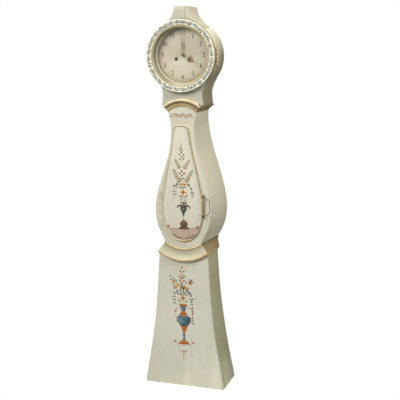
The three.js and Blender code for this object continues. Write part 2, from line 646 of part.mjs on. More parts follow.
function buildTrain() {
  const centre = join(
    arbor(0, DIAL_Z, 1.6, 4, BACK_PLATE_Y + PLATE_THICK - 0.5),
    spokedWheel(24.5, 0, DIAL_Z, 64, 66, 4),
    barY(6.5, 0, DIAL_Z, 68, 79, 20),
  );
  piece('centre_arbor', centre, materials.brass);
  piece('third_wheel', join(
    arbor(THIRD.x, THIRD.z),
    spokedWheel(19.5, THIRD.x, THIRD.z, 56, 58, 3),
    barY(3.4, THIRD.x, THIRD.z, 60, 70, 16),
  ), materials.brass);
  piece('escape_wheel', join(
    arbor(0, ESCAPE_Z),
    spokedWheel(15.4, 0, ESCAPE_Z, 40, 41.8, 3, 3),
    barY(3.4, 0, ESCAPE_Z, 53, 61, 16),
  ), materials.brass);

  // Motion work between the front plate and the dial: 1 turn of the hour pipe to 12 of the cannon pinion.
  piece('cannon_pinion', cut(
    join(barY(3, 0, DIAL_Z, 6.9, 26.5, 20), barY(CANNON_R, 0, DIAL_Z, 25.4, 27, 20)),
    barY(1.9, 0, DIAL_Z, 0, 30, 16),
  ), materials.brass);
  piece('minute_wheel', join(
    barY(1.6, MINUTE.x, MINUTE.z, 24, FRONT_PLATE_Y + 2, 10),
    barY(MINUTE_R, MINUTE.x, MINUTE.z, 25.4, 27, 32),
    barY(MINUTE_PINION_R, MINUTE.x, MINUTE.z, 23, 25.5, 12),
  ), materials.brass);
  piece('hour_wheel', cut(
    join(barY(HOUR_R, 0, DIAL_Z, 23, 24.6, 32), barY(5, 0, DIAL_Z, 13.4, 24, 20)),
    barY(3.4, 0, DIAL_Z, 0, 30, 20),
  ), materials.brass);

  for (const [name, side] of [['time', 1], ['strike', -1]]) {
    const x = side * WINDING_X;
    const z = WINDING_Z;
    const winding = box(x - 2.6, x + 2.6, 23, 29, z - 2.6, z + 2.6);
    piece(`${name}_barrel`, join(
      winding,
      arbor(x, z, 4.4, 28.5, BACK_PLATE_Y + PLATE_THICK - 0.5),
      barY(DRUM_R, x, z, 36, 60, 32),
      barY(17, x, z, 34, 36.5),
      barY(17, x, z, 59.5, 62),
      spokedWheel(34.5, x, z, 72, 75, 8),
    ), materials.brass);
  }

  const fan = box(FLY.x - 12, FLY.x + 12, 60, 84, FLY.z - 0.6, FLY.z + 0.6);
  piece('fly', join(arbor(FLY.x, FLY.z), fan, barY(3, FLY.x, FLY.z, 58, 86, 16)), materials.brass);
}

function buildEscapement() {
  const palletY0 = 40;
  const arms = new THREE.Shape([
    new THREE.Vector2(-18, PIVOT_Z - 20), new THREE.Vector2(-13.5, PIVOT_Z - 14),
    new THREE.Vector2(0, PIVOT_Z - 4.5), new THREE.Vector2(13.5, PIVOT_Z - 14),
    new THREE.Vector2(18, PIVOT_Z - 20), new THREE.Vector2(19.5, PIVOT_Z - 12),
    new THREE.Vector2(8, PIVOT_Z + 3), new THREE.Vector2(0, PIVOT_Z + 5),
    new THREE.Vector2(-8, PIVOT_Z + 3), new THREE.Vector2(-19.5, PIVOT_Z - 12),
  ]);
  const crutchY = 96;
  const foot = 1792;
  const fork = cut(box(-5, 5, crutchY - 1.5, PENDULUM_Y + 5, foot - 2, foot + 2),
    box(-2.6, 2.6, PENDULUM_Y - 3, PENDULUM_Y + 3, foot - 3, foot + 3));
  piece('anchor', join(
    plate(arms, palletY0, palletY0 + 2.4),
    barY(2, 0, PIVOT_Z, FRONT_PLATE_Y + 0.5, crutchY + 1.5, 16),
    box(-1.5, 1.5, crutchY - 1.5, crutchY + 1.5, foot, PIVOT_Z),
    fork,
  ), materials.iron);

  // Cock behind the back plate; the suspension spring hangs from its split jaw.
  const base = box(-16, 16, BACK_PLATE_Y + PLATE_THICK + GAP, 95, PIVOT_Z + 5, PLATE_TOP);
  const beam = box(-6, 6, 94, PENDULUM_Y + 6, PIVOT_Z + 7, PLATE_TOP);
  const slot = box(-1.8, 1.8, PENDULUM_Y - 5.4, PENDULUM_Y + 7, PIVOT_Z, PLATE_TOP - 4);
  piece('back_cock', cut(join(base, beam), slot), materials.brass);

  const bobZ = PIVOT_Z - PENDULUM_LENGTH;
  const spring = box(-0.8, 0.8, PENDULUM_Y - 5, PENDULUM_Y + 5, PIVOT_Z - 30, PLATE_TOP - 4.4);
  const rod = barZ(2, 0, PENDULUM_Y, bobZ - BOB_R - 22, PIVOT_Z - 24, 12);
  piece('pendulum_rod', join(spring, rod), materials.iron);
  const bob = turnedY([[0, -13], [22, -12], [44, -8], [BOB_R, -1.5], [BOB_R, 1.5], [44, 8], [22, 12], [0, 13]], 0, 0, 32)
    .translate(0, PENDULUM_Y, bobZ);
  const nut = barZ(7, 0, PENDULUM_Y, bobZ - BOB_R - 8, bobZ - BOB_R - 1.5);
  const bore = barZ(2 + GAP, 0, PENDULUM_Y, bobZ - BOB_R - 30, bobZ + BOB_R + 10, 12);
  piece('pendulum_bob', cut(bob, bore), materials.brass);
  piece('rating_nut', cut(nut, bore), materials.brass);
}

function buildDialAndHands() {
  const plateShape = new THREE.Shape();
  plateShape.absarc(0, DIAL_Z, DIAL_R, 0, 2 * Math.PI);
  const holes = [[0, DIAL_Z, 6.5], [WINDING_X, WINDING_Z, 8], [-WINDING_X, WINDING_Z, 8]];
  for (const [x, z, radius] of holes) {
    const hole = new THREE.Path();
    hole.absarc(x, z, radius, 0, 2 * Math.PI, true);
    plateShape.holes.push(hole);
  }
  piece('dial_plate', plate(plateShape, DIAL_Y, DIAL_Y + 1.5, 16), materials.dial);

  // Minute hand just short of twelve, hour hand at four.
  const minute = new THREE.Shape([[-3.5, 0], [-2.2, 30], [-5, 38], [0, 98], [5, 38], [2.2, 30], [3.5, 0]]
    .reverse().map(([x, z]) => new THREE.Vector2(x, z)));
  const minuteHand = cut(join(plate(minute, 4.6, 6.2), barY(7, 0, 0, 4.6, 6.6, 24)), barY(1.9, 0, 0, 0, 10, 16));
  minuteHand.rotateY(-MINUTE_HAND_SHORT).translate(0, 0, DIAL_Z);
  piece('minute_hand', minuteHand, materials.gilding);

  const hour = new THREE.Shape([[-3.5, 0], [-2.5, 24], [-9, 34], [-15, 50], [-5, 58], [-2, 72], [0, 97],
    [2, 72], [5, 58], [15, 50], [9, 34], [2.5, 24], [3.5, 0]].reverse().map(([x, z]) => new THREE.Vector2(x, z)));
  const loops = [[-7.5, 47], [7.5, 47]].map(([x, z]) => barY(4.4, x, z, 0, 30, 16));
  const boss = barY(9, 0, 0, 10.5, 13, 24);
  const hourHand = cut(join(plate(hour, 10.5, 12), boss), barY(5.4, 0, 0, 0, 30, 20), ...loops);
  hourHand.rotateY((4 / 12) * 2 * Math.PI).translate(0, 3.2, DIAL_Z);
  piece('hour_hand', hourHand, materials.gilding);
}

function buildStrike() {
  const bar = box(-6, 6, FRONT_PLATE_Y + PLATE_THICK + GAP, BACK_PLATE_Y - GAP, PLATE_TOP - 5, PLATE_TOP);
  const post = barZ(4, 0, BELL.y, PLATE_TOP - 1, BELL.z + 29.5, 16);
  const tip = barZ(2.6, 0, BELL.y, BELL.z + 29, BELL.z + 40, 16);
  piece('bell_stand', join(bar, post, tip), materials.iron);
  const profile = [
    [3, 30], [3, 33], [14, 32], [27, 24], [34, 10], [37, 0], [34, 0], [31, 10], [24.5, 21.8], [13, 29],
  ];
  const bell = turnedZ(profile, 0, BELL.y, 24);
  piece('bell', bell.translate(0, 0, BELL.z), materials.brass);
  const head = box(HAMMER.x - 5, HAMMER.x + 9, BELL.y - 5, BELL.y + 5, BELL.z + 1, BELL.z + 11);
  const arm = box(HAMMER.x - 1.2, HAMMER.x + 1.2, BELL.y - 1.2, BELL.y + 1.2, HAMMER.z, BELL.z + 6);
  piece('bell_hammer', join(arbor(HAMMER.x, HAMMER.z, 2), arm, head), materials.iron);
}

function buildWeights() {
  const top = WEIGHT_BOTTOM + WEIGHT_HEIGHT;
  const lineTop = WINDING_Z;
  const lineFoot = top + 24;
  for (const [name, side] of [['time', 1], ['strike', -1]]) {
    const x = side * LINE_X;
    const profile = [
      [0, WEIGHT_BOTTOM], [WEIGHT_R - 2, WEIGHT_BOTTOM], [WEIGHT_R, WEIGHT_BOTTOM + 3], [WEIGHT_R, top - 6],
      [WEIGHT_R - 4, top], [3, top], [3, lineFoot - GAP], [0, lineFoot - GAP],
    ];
    piece(`${name}_weight`, turnedZ(profile, x, LINE_Y, 20), materials.lead);
    piece(`${name}_line`, barZ(LINE_R, x, LINE_Y, lineFoot, lineTop, 8), materials.gut);
  }
}

function buildSeatBoard() {
  const board = box(-74, 74, 24, 93, SEAT_Z, SEAT_Z + SEAT_THICK);
  const slots = [-LINE_X, LINE_X].map((x) => box(x - 5, x + 5, 34, 62, SEAT_Z - 5, SEAT_Z + 30));
  piece('seat_board', cut(board, ...slots), materials.rawWood);
}

buildBase();
buildBackBoard();
buildWaist();
buildCollar();
buildThroat();
buildWaistDoor();
buildHood();
buildSeatBoard();
buildFrame();
buildTrain();
buildEscapement();
buildDialAndHands();
buildStrike();
buildWeights();

export default clock;
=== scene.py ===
import json
import math
import random

import bmesh
import bpy
from mathutils import Matrix, Vector


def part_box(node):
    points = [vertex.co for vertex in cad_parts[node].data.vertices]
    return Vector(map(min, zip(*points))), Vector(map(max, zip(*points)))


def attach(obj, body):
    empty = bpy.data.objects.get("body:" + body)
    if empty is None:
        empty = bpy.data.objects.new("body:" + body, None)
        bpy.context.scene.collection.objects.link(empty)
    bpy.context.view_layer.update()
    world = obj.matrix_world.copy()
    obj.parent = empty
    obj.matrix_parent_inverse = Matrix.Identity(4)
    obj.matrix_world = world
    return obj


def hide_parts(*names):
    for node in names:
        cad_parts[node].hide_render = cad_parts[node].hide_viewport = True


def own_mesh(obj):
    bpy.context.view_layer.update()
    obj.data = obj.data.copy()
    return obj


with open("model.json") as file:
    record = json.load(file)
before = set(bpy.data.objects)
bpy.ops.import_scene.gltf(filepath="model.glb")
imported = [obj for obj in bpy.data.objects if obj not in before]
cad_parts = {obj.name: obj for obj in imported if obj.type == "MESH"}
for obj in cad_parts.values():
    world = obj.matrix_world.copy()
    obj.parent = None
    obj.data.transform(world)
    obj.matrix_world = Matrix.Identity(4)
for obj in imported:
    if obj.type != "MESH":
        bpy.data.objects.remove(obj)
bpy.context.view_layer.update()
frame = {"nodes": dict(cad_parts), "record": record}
nodes = frame["nodes"]
slot_of = {part["node"]: part["material_slot"] for part in frame["record"]["subparts"]}
body_of = {node: body for body, members in frame["record"]["behaviour"]["bodies"].items() for node in members}
chance = random.Random(7)

MM = 0.001


def centre_of(node):
    low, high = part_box(node)
    return (low + high) / 2


# Y of the faces that are painted on, and the middles of the round door and of the dial.
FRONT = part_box("base_front_board")[0].y
DOOR_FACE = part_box("waist_door")[0].y
DIAL_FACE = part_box("dial_plate")[0].y
HOOD = centre_of("ring_door")
DIAL = centre_of("dial_plate")


# ---------------------------------------------------------------- camera, light and floor

CAMERA = {
    "azimuth": 0.3142, "pitch": 0.1741, "roll": -0.0039, "place": (1.475, -4.33825, 1.856), "lens": 75.15,
}


def look(azimuth, pitch, roll, place, lens):
    """A camera turned azimuth from +Y towards -X and tipped down by pitch, in radians."""
    level = Vector((math.cos(azimuth), math.sin(azimuth), 0))
    ahead = Vector((-math.sin(azimuth), math.cos(azimuth), 0))
    forward = ahead * math.cos(pitch) - Vector((0, 0, math.sin(pitch)))
    above = level.cross(forward)
    right = level * math.cos(roll) + above * math.sin(roll)
    up = above * math.cos(roll) - level * math.sin(roll)
    camera = bpy.data.objects.new("camera", bpy.data.cameras.new("camera"))
    camera.matrix_world = Matrix((right, up, -forward)).transposed().to_4x4()
    camera.location = place
    camera.data.lens = lens
    camera.data.sensor_width = 36
    bpy.context.scene.collection.objects.link(camera)
    bpy.context.scene.camera = camera


def area_light(name, place, target, size, power, colour=(1, 1, 1)):
    light = bpy.data.lights.new(name, "AREA")
    light.shape = "DISK"
    light.size = size
    light.energy = power
    light.color = colour
    lamp = bpy.data.objects.new(name, light)
    lamp.location = place
    lamp.rotation_euler = (Vector(target) - Vector(place)).to_track_quat("-Z", "Y").to_euler()
    bpy.context.scene.collection.objects.link(lamp)


def build_studio():
    look(**CAMERA)
    area_light("key", (-1.9, -3.6, 3.6), (0, 0, 1.1), 3.0, 178, (1, 0.985, 0.96))
    area_light("overhead", (0.5, -0.6, 4.3), (0, 0, 1.0), 1.8, 42)
    area_light("side_high", (2.4, -0.75, 2.9), (0, 0, 1.2), 1.4, 60, (1, 0.985, 0.95))
    area_light("back_fill", (-1.5, 3.5, 2.6), (0, 0, 1.1), 2.6, 70)
    world = bpy.data.worlds.new("studio")
    world.use_nodes = True
    tree = world.node_tree
    tree.nodes.clear()
    ambient = node(tree, "ShaderNodeBackground", {"Color": (1, 0.99, 0.97, 1), "Strength": 0.15})
    backdrop = node(tree, "ShaderNodeBackground", {"Color": (1, 1, 1, 1), "Strength": 1.0})
    seen = node(tree, "ShaderNodeLightPath")
    mixed = node(tree, "ShaderNodeMixShader", {0: seen.outputs["Is Camera Ray"], 1: ambient.outputs[0],
                                               2: backdrop.outputs[0]})
    node(tree, "ShaderNodeOutputWorld", {"Surface": mixed.outputs[0]})
    bpy.context.scene.world = world
    bpy.context.scene.view_settings.view_transform = "Standard"

    bpy.ops.mesh.primitive_plane_add(size=12, location=(0, 0, -0.0005))
    floor = bpy.context.object
    floor.name = "floor"
    floor.data.materials.append(floor_paint())


# ---------------------------------------------------------------- shader helpers

def node(tree, kind, inputs=None, **settings):
    made = tree.nodes.new(kind)
    for key, value in settings.items():
        setattr(made, key, value)
    for key, value in (inputs or {}).items():
        if isinstance(value, bpy.types.NodeSocket):
            tree.links.new(value, made.inputs[key])
        else:
            made.inputs[key].default_value = value
    return made


class Finish:
    """A Principled material whose colour, roughness and relief are built up in layers."""

    def __init__(self, name, colour, roughness, metallic=0.0):
        self.material = bpy.data.materials.new(name)
        self.material.use_nodes = True
        self.tree = self.material.node_tree
        self.shader = self.tree.nodes["Principled BSDF"]
        self.shader.inputs["Metallic"].default_value = metallic
        self.shader.inputs["Roughness"].default_value = roughness
        self.shader.inputs["Base Color"].default_value = (*colour, 1)
        self.place = node(self.tree, "ShaderNodeTexCoord").outputs["Object"]
        self.colour = (*colour, 1)
        self.relief = None

    def stretched(self, scale, turn=(0, 0, 0)):
        moved = node(self.tree, "ShaderNodeMapping", {"Vector": self.place, "Scale": scale, "Rotation": turn})
        return moved.outputs[0]

    def noise(self, scale, detail=4.0, roughness=0.55, stretch=(1, 1, 1), distortion=0.0):
        made = node(self.tree, "ShaderNodeTexNoise", {
            "Vector": self.stretched(stretch), "Scale": scale, "Detail": detail, "Roughness": roughness,
            "Distortion": distortion,
        })
        return made.outputs["Fac"]

    def cells(self, scale, stretch=(1, 1, 1)):
        made = node(self.tree, "ShaderNodeTexVoronoi", {"Vector": self.stretched(stretch), "Scale": scale},
                    feature="DISTANCE_TO_EDGE")
        return made.outputs["Distance"]

    def ramp(self, value, low, high, out_low=0.0, out_high=1.0):
        made = node(self.tree, "ShaderNodeMapRange", {
            "Value": value, "From Min": low, "From Max": high, "To Min": out_low, "To Max": out_high,
        }, interpolation_type="SMOOTHSTEP")
        return made.outputs["Result"]

    def both(self, first, second):
        return node(self.tree, "ShaderNodeMath", {0: first, 1: second}, operation="MULTIPLY").outputs[0]

    def along(self, axis):
        return node(self.tree, "ShaderNodeSeparateXYZ", {0: self.place}).outputs[axis]

    def tint(self, colour, amount, blend="MIX"):
        """Lays a colour over what is there, where amount is above zero."""
        made = node(self.tree, "ShaderNodeMix", {"Factor": amount, 6: self.colour, 7: (*colour, 1)},
                    data_type="RGBA", blend_type=blend)
        self.colour = made.outputs[2]

    def patches(self, colour, amount, low, high, *noise):
        """Lays a colour where a noise passes from low to high."""
        self.tint(colour, self.both(self.ramp(self.noise(*noise), low, high), amount))

    def raise_by(self, value, distance, strength=0.5):
        made = node(self.tree, "ShaderNodeBump",
                    {"Height": value, "Distance": distance, "Strength": strength})
        if self.relief is not None:
            self.tree.links.new(self.relief, made.inputs["Normal"])
        self.relief = made.outputs[0]

    def gloss(self, value):
        self.tree.links.new(value, self.shader.inputs["Roughness"])

    def done(self):
        if not isinstance(self.colour, tuple):
            self.tree.links.new(self.colour, self.shader.inputs["Base Color"])
        if self.relief is not None:
            self.tree.links.new(self.relief, self.shader.inputs["Normal"])
        return self.material


def scaled(colour, *shares):
    """A colour with each channel times its share, or all of them times one, and none above 1."""
    return tuple(min(1, channel * share) for channel, share in zip(colour, shares * 3))


def aged_paint(name, colour, wear=0.35, cracks=0.5, streaks=0.35, painted_shade=None):
    """Old oil paint: brush lines down the board, cloudy ageing, specks, fine cracks and rubbed grime.

    painted_shade is a tone with two heights, between which the paint darkens towards it and loses its sheen,
    as painted shade."""
    grime = (0.30, 0.24, 0.13)
    paint = Finish(name, colour, 0.55)
    if painted_shade:
        # Painted shade: the colour goes darker between the two heights.
        tone, from_height, to_height = painted_shade
        paint.shader.inputs["Specular IOR Level"].default_value = 0.2
        paint.tint(tone, paint.ramp(paint.along("Z"), to_height, from_height, 1.0, 0.0))
    paint.patches(scaled(colour, 0.90, 0.86, 0.76), wear, 0.42, 0.72, 3.2, 5, 0.6)
    paint.patches(scaled(colour, 1.05, 1.05, 1.08), 0.5, 0.5, 0.75, 7.5, 4, 0.5, (1, 1, 0.4))
    brush = paint.noise(46, 5, 0.62, (1, 1, 0.045))
    paint.tint(scaled(colour, 0.88), paint.both(paint.ramp(brush, 0.5, 0.8), streaks))
    fine = paint.ramp(paint.noise(170, 3, 0.5), 0.66, 0.74)
    specks = paint.both(fine, paint.ramp(paint.noise(9, 3), 0.48, 0.62))
    paint.tint(grime, paint.both(specks, 0.45))
    net = paint.ramp(paint.cells(34, (1, 1, 0.09)), 0.0, 0.010, 1.0, 0.0)
    crackle = paint.both(net, paint.ramp(paint.noise(5, 3), 0.5, 0.66))
    paint.tint(grime, paint.both(crackle, cracks * 0.5))
    paint.patches((0.42, 0.31, 0.17), wear * 0.5, 0.62, 0.8, 13, 6, 0.7, (1, 1, 0.5), 0.6)
    paint.raise_by(brush, 0.0004, 0.35)
    paint.raise_by(crackle, 0.0005, 0.3)
    paint.gloss(paint.ramp(paint.noise(22, 3), 0.3, 0.8, 0.42, 0.66))
    return paint.done()


def gilding(name, colour, rubbed=0.35, painted_side_light=None):
    """Gold leaf rubbed through in spots to the red bole under it.

    painted_side_light is a tone with two X places, between which the leaf takes over; a pale tone paints
    light on one side of the gilding, a dark one paints shade."""
    bole = (0.28, 0.13, 0.06)
    gold = Finish(name, colour, 0.42, 0.22)
    bright = tuple(min(1, c * 1.35 + 0.04) for c in colour)
    gold.patches(scaled(colour, 0.6), 0.55, 0.35, 0.7, 18, 5, 0.6)
    gold.patches(bright, 0.6, 0.55, 0.75, 55, 4, 0.6)
    gold.patches(bole, rubbed, 0.6, 0.7, 80, 6, 0.7)
    if painted_side_light:
        side_tone, toned_x, leaf_x = painted_side_light
        gold.tint(side_tone, gold.ramp(gold.along("X"), toned_x, leaf_x, 0.85, 0.0))
    gold.raise_by(gold.noise(260, 3), 0.0003, 0.4)
    gold.gloss(gold.ramp(gold.noise(30, 3), 0.3, 0.8, 0.32, 0.58))
    return gold.done()


def metal(name, colour, roughness, dark, metallic=1.0):
    """An alloy with a patina in patches, pits, and the fine lines of its turning."""
    alloy = Finish(name, colour, roughness, metallic)
    patina = alloy.ramp(alloy.noise(38, 6, 0.65), 0.45, 0.75)
    alloy.tint(dark, alloy.both(patina, 0.5))
    pits = alloy.ramp(alloy.noise(240, 4, 0.6), 0.62, 0.7)
    alloy.tint(scaled(dark, 0.4), alloy.both(pits, 0.5))
    alloy.raise_by(alloy.noise(420, 2, 0.5, (1, 0.2, 1)), 0.0002, 0.25)
    alloy.raise_by(pits, 0.0003, 0.3)
    alloy.gloss(alloy.ramp(patina, 0, 1, roughness, min(1, roughness + 0.25)))
    return alloy.done()


def bare_wood(name, light, dark, along=(1, 1, 0.06)):
    """Unpainted pine: long growth rings, dust and fine pores. Twisted gut is shown by the same means."""
    wood = Finish(name, light, 0.72)
    rings = node(wood.tree, "ShaderNodeTexWave", {
        "Vector": wood.stretched(along), "Scale": 7, "Distortion": 14, "Detail": 4, "Detail Scale": 0.8,
    }, wave_type="BANDS", bands_direction="X").outputs["Fac"]
    wood.tint(dark, wood.both(wood.ramp(rings, 0.35, 0.95), 0.6))
    wood.patches((0.16, 0.12, 0.08), 0.35, 0.45, 0.75, 12, 5)
    pores = wood.noise(300, 3, 0.6, (1, 1, 0.05))
    wood.raise_by(rings, 0.0004, 0.3)
    wood.raise_by(pores, 0.0003, 0.35)
    wood.gloss(wood.ramp(pores, 0.3, 0.7, 0.6, 0.82))
    return wood.done()


def pigment(name, colour):
    """Thin decorative paint whose brush loads thick and thin."""
    ground = (0.62, 0.58, 0.46)
    paint = Finish(name, colour, 0.5)
    thin = paint.ramp(paint.noise(150, 4, 0.6), 0.5, 0.8)
    paint.tint(tuple(c + (k - c) * 0.2 for c, k in zip(colour, ground)), thin)
    paint.patches(scaled(colour, 0.7), 0.6, 0.5, 0.8, 70, 3)
    paint.raise_by(paint.noise(380, 2), 0.0002, 0.3)
    return paint.done()


def floor_paint():
    """A pale floor that fades into the white around it."""
    floor = Finish("floor_pale", (0.93, 0.93, 0.92), 0.85)
    floor.tint((0.90, 0.90, 0.89), floor.ramp(floor.noise(0.8, 3), 0.4, 0.7))
    floor.raise_by(floor.noise(60, 2), 0.0005, 0.1)
    floor.shader.inputs["Emission Color"].default_value = (1, 1, 1, 1)
    floor.shader.inputs["Emission Strength"].default_value = 0.3
    reach = node(floor.tree, "ShaderNodeVectorMath", {0: floor.place}, operation="LENGTH").outputs["Value"]
    solid_to, gone_from = 0.34, 0.85
    floor.tree.links.new(floor.ramp(reach, solid_to, gone_from, 1.0, 0.0), floor.shader.inputs["Alpha"])
    return floor.done()


def dial_paint():
    """Cream ground, darkened brown towards the rim as painted shade from the bezel, and rubbed in cloudy
    patches.
    """
    unshaded_to, shaded_from = 0.112, 0.152
    paint = Finish("dial_cream", (0.69, 0.63, 0.48), 0.5)
    middle = (DIAL.x, DIAL_FACE, DIAL.z)
    offset = node(paint.tree, "ShaderNodeVectorMath", {0: paint.place, 1: middle}, operation="SUBTRACT")
    length = node(paint.tree, "ShaderNodeVectorMath", {0: offset.outputs[0]}, operation="LENGTH")
    reach = length.outputs["Value"]
    # Painted shade: darker brown towards the rim.
    paint.tint((0.40, 0.29, 0.14), paint.both(paint.ramp(reach, unshaded_to, shaded_from), 0.85))
    paint.patches((0.54, 0.46, 0.31), 0.45, 0.42, 0.72, 16, 5, 0.6)
    paint.patches((0.30, 0.22, 0.12), 0.4, 0.64, 0.72, 210, 3)
    net = paint.ramp(paint.cells(60), 0.0, 0.02, 1.0, 0.0)
    crackle = paint.both(net, paint.ramp(paint.noise(8, 3), 0.45, 0.62))
    paint.tint((0.33, 0.25, 0.14), paint.both(crackle, 0.35))
    paint.raise_by(paint.noise(90, 4), 0.0003, 0.3)
    paint.gloss(paint.ramp(paint.noise(30, 3), 0.3, 0.8, 0.38, 0.6))
    return paint.done()


def window_glass():
    """Old thin glass, clear enough to show the dial, with a faint wavy gloss."""
    glass = Finish("old_glass", (0.30, 0.34, 0.31), 0.09)
    glass.shader.inputs["Alpha"].default_value = 0.035
    glass.shader.inputs["IOR"].default_value = 1.5
    glass.tint((0.22, 0.27, 0.24), glass.ramp(glass.noise(6, 3), 0.4, 0.7))
    glass.raise_by(glass.noise(5, 2), 0.0004, 0.15)
    return glass.done()


# Heights between which the base is painted darker towards its foot, as painted shade.
BASE_FOOT = 0.0
BASE_SHADE_FROM = 0.45
PAINTS = {
    "case_paint": {"colour": (0.69, 0.675, 0.54)},
    "hood_paint": {"colour": (0.565, 0.553, 0.445)},
    # Painted shade: the side boards, the base sides and the hood shells take more olive copies of the front
    # paint, the base sides much darker.
    "side_shade_paint": {"colour": (0.66, 0.635, 0.47), "wear": 0.5, "streaks": 0.5},
    "base_side": {"colour": (0.48, 0.465, 0.295), "wear": 0.5, "streaks": 0.6,
                  "painted_shade": ((0.27, 0.265, 0.165), BASE_SHADE_FROM, BASE_FOOT)},
    "shell_shade_paint": {"colour": (0.70, 0.665, 0.51), "wear": 0.5, "streaks": 0.4,
                    "painted_shade": ((0.25, 0.228, 0.138), 2.00, 1.82)},
    "base_paint": {"colour": (0.70, 0.685, 0.575), "wear": 0.42, "cracks": 0.7, "streaks": 0.55,
                   "painted_shade": ((0.46, 0.45, 0.365), BASE_SHADE_FROM, BASE_FOOT)},
    "door_paint": {"colour": (0.74, 0.72, 0.59), "wear": 0.22, "cracks": 0.3},
    "crest_paint": {"colour": (0.505, 0.488, 0.395), "wear": 0.7, "cracks": 0.6},
    "crest_side": {"colour": (0.51, 0.465, 0.34), "wear": 1.0, "cracks": 0.6},
    "moulding_paint": {"colour": (0.52, 0.49, 0.345), "wear": 0.5},
    # Painted shade: the side returns of the mouldings take a dark copy of their paint.
    "return_shade_paint": {"colour": (0.38, 0.29, 0.145), "wear": 0.6},
    "reveal_paint": {"colour": (0.62, 0.61, 0.51), "wear": 0.4},
    # Painted shade: near-black paint in the round door's rebate, where shade falls.
    "rebate_shade_paint": {"colour": (0.16, 0.14, 0.085), "wear": 0.4},
    "ring_paint": {"colour": (0.84, 0.835, 0.70), "wear": 0.2},
}
GOLDS = {
    "old_gold": {"colour": (0.66, 0.49, 0.24)},
    "bright_gold": {"colour": (0.80, 0.60, 0.32), "rubbed": 0.3},
    # Painted shade: a darker copy of the gilding, for the side returns, the throat's hollow and the round
    # door's flank.
    "dark_gold": {"colour": (0.38, 0.28, 0.13), "rubbed": 0.5},
    "pale_gold": {"colour": (0.82, 0.69, 0.44), "rubbed": 0.3},
    # Painted light and shade: door_gold is made paler towards its left, and bead_slope darker towards its
    # left.
    "door_gold": {"colour": (0.50, 0.35, 0.15), "painted_side_light": ((0.66, 0.59, 0.44), -0.06, 0.03)},
    "bead_gold": {"colour": (0.58, 0.51, 0.31), "rubbed": 0.2},
    "bead_slope": {"colour": (0.62, 0.56, 0.37), "rubbed": 0.2, "painted_side_light": ((0.20, 0.17, 0.10), -0.10, 0.0)},
}
# Colour, roughness, colour of the patina, and how metallic.
METALS = {
    "brass": ((0.62, 0.45, 0.17), 0.32, (0.30, 0.20, 0.07), 1.0),
    "hinge_brass": ((0.60, 0.52, 0.33), 0.5, (0.40, 0.33, 0.20), 0.2),
    # Painted shade: the front plate's brass is made near black, so that it reads dark behind the winding
    # holes.
    "shade_dark_brass": ((0.055, 0.042, 0.022), 0.6, (0.04, 0.03, 0.018), 0.5),
    "hand_gilt": ((0.33, 0.225, 0.085), 0.5, (0.17, 0.115, 0.05), 0.45),
    "forged_iron": ((0.12, 0.105, 0.09), 0.55, (0.16, 0.08, 0.04), 0.75),
    "rusty_iron": ((0.25, 0.215, 0.175), 0.5, (0.19, 0.10, 0.05), 0.5),
    "steel": ((0.42, 0.41, 0.40), 0.3, (0.22, 0.19, 0.16), 1.0),
    "weight_iron": ((0.16, 0.155, 0.15), 0.62, (0.13, 0.08, 0.05), 0.6),
}
FINISHES = {
    "pine": bare_wood("pine", (0.42, 0.28, 0.15), (0.26, 0.15, 0.07)),
    "gut": bare_wood("gut_twist", (0.52, 0.38, 0.20), (0.33, 0.22, 0.10), (1, 1, 9)),
    "dial_cream": dial_paint(),
    "old_glass": window_glass(),
}
FINISHES.update({name: aged_paint(name, **traits) for name, traits in PAINTS.items()})
FINISHES.update({name: gilding(name, **traits) for name, traits in GOLDS.items()})
FINISHES.update({name: metal(name, *traits) for name, traits in METALS.items()})
BY_SLOT = {
    "painted_wood": "case_paint", "painted_door": "door_paint", "gilded_wood": "old_gold",
    "bare_wood": "pine", "painted_dial": "dial_cream", "brass": "brass", "gilt_hands": "hand_gilt",
    "forged_iron": "forged_iron", "steel": "steel", "weight_iron": "weight_iron", "glass": "old_glass",
    "gut_line": "gut",
}


# ---------------------------------------------------------------- mesh helpers

def add_piece(name, mesh, finishes, body, replaced=()):
    piece = bpy.data.objects.new(name, mesh)
    bpy.context.scene.collection.objects.link(piece)
    for finish in finishes:
        mesh.materials.append(FINISHES[finish])
    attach(piece, body)
    if replaced:
        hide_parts(*replaced)
    return piece


def released(work, name):
    """The mesh that a finished bmesh leaves."""
    mesh = bpy.data.meshes.new(name)
    work.to_mesh(mesh)
    work.free()
    return mesh


def soften(mesh, angle=35):
    for face in mesh.polygons:
        face.use_smooth = True
    mesh.set_sharp_from_angle(angle=math.radians(angle))


def refined(name, finish=None, edge=0.9, bands=None):
    """A CAD piece with its facets joined, its arrises rounded and its curves shaded smooth.

    bands(face centre, normal) may name another finish for some of its faces."""
    work = bmesh.new()
    work.from_mesh(nodes[name].data)
    bmesh.ops.remove_doubles(work, verts=work.verts, dist=2e-6)
    bmesh.ops.dissolve_limit(work, angle_limit=math.radians(0.6), verts=work.verts, edges=work.edges)
    if edge:
        sharp = [e for e in work.edges if len(e.link_faces) == 2 and e.calc_face_angle(0) > math.radians(40)]
        bmesh.ops.bevel(work, geom=sharp, offset=edge * MM, offset_type="OFFSET", segments=2, profile=0.6,
                        affect="EDGES", clamp_overlap=True)
    bmesh.ops.triangulate(work, faces=[f for f in work.faces if len(f.verts) > 4])
    finishes = [finish or BY_SLOT[slot_of[name]]]
    if bands:
        for face in work.faces:
            wanted = bands(face.calc_center_median(), face.normal) or finishes[0]
            if wanted not in finishes:
                finishes.append(wanted)
            face.material_index = finishes.index(wanted)
    mesh = released(work, name + "_fine")
    soften(mesh)
    return add_piece(name + "_fine", mesh, finishes, body_of[name], [name])


def skin(work, rings, closed):
    """Quads from each ring of vertices to the next, and their faces in one list for each pair of rings."""
    bands = []
    for k in range(len(rings) if closed else len(rings) - 1):
        ring, after = rings[k], rings[(k + 1) % len(rings)]
        turned, turned_after = ring[1:] + ring[:1], after[1:] + after[:1]
        bands.append([work.faces.new(corners) for corners in zip(ring, turned, turned_after, after)])
    return bands


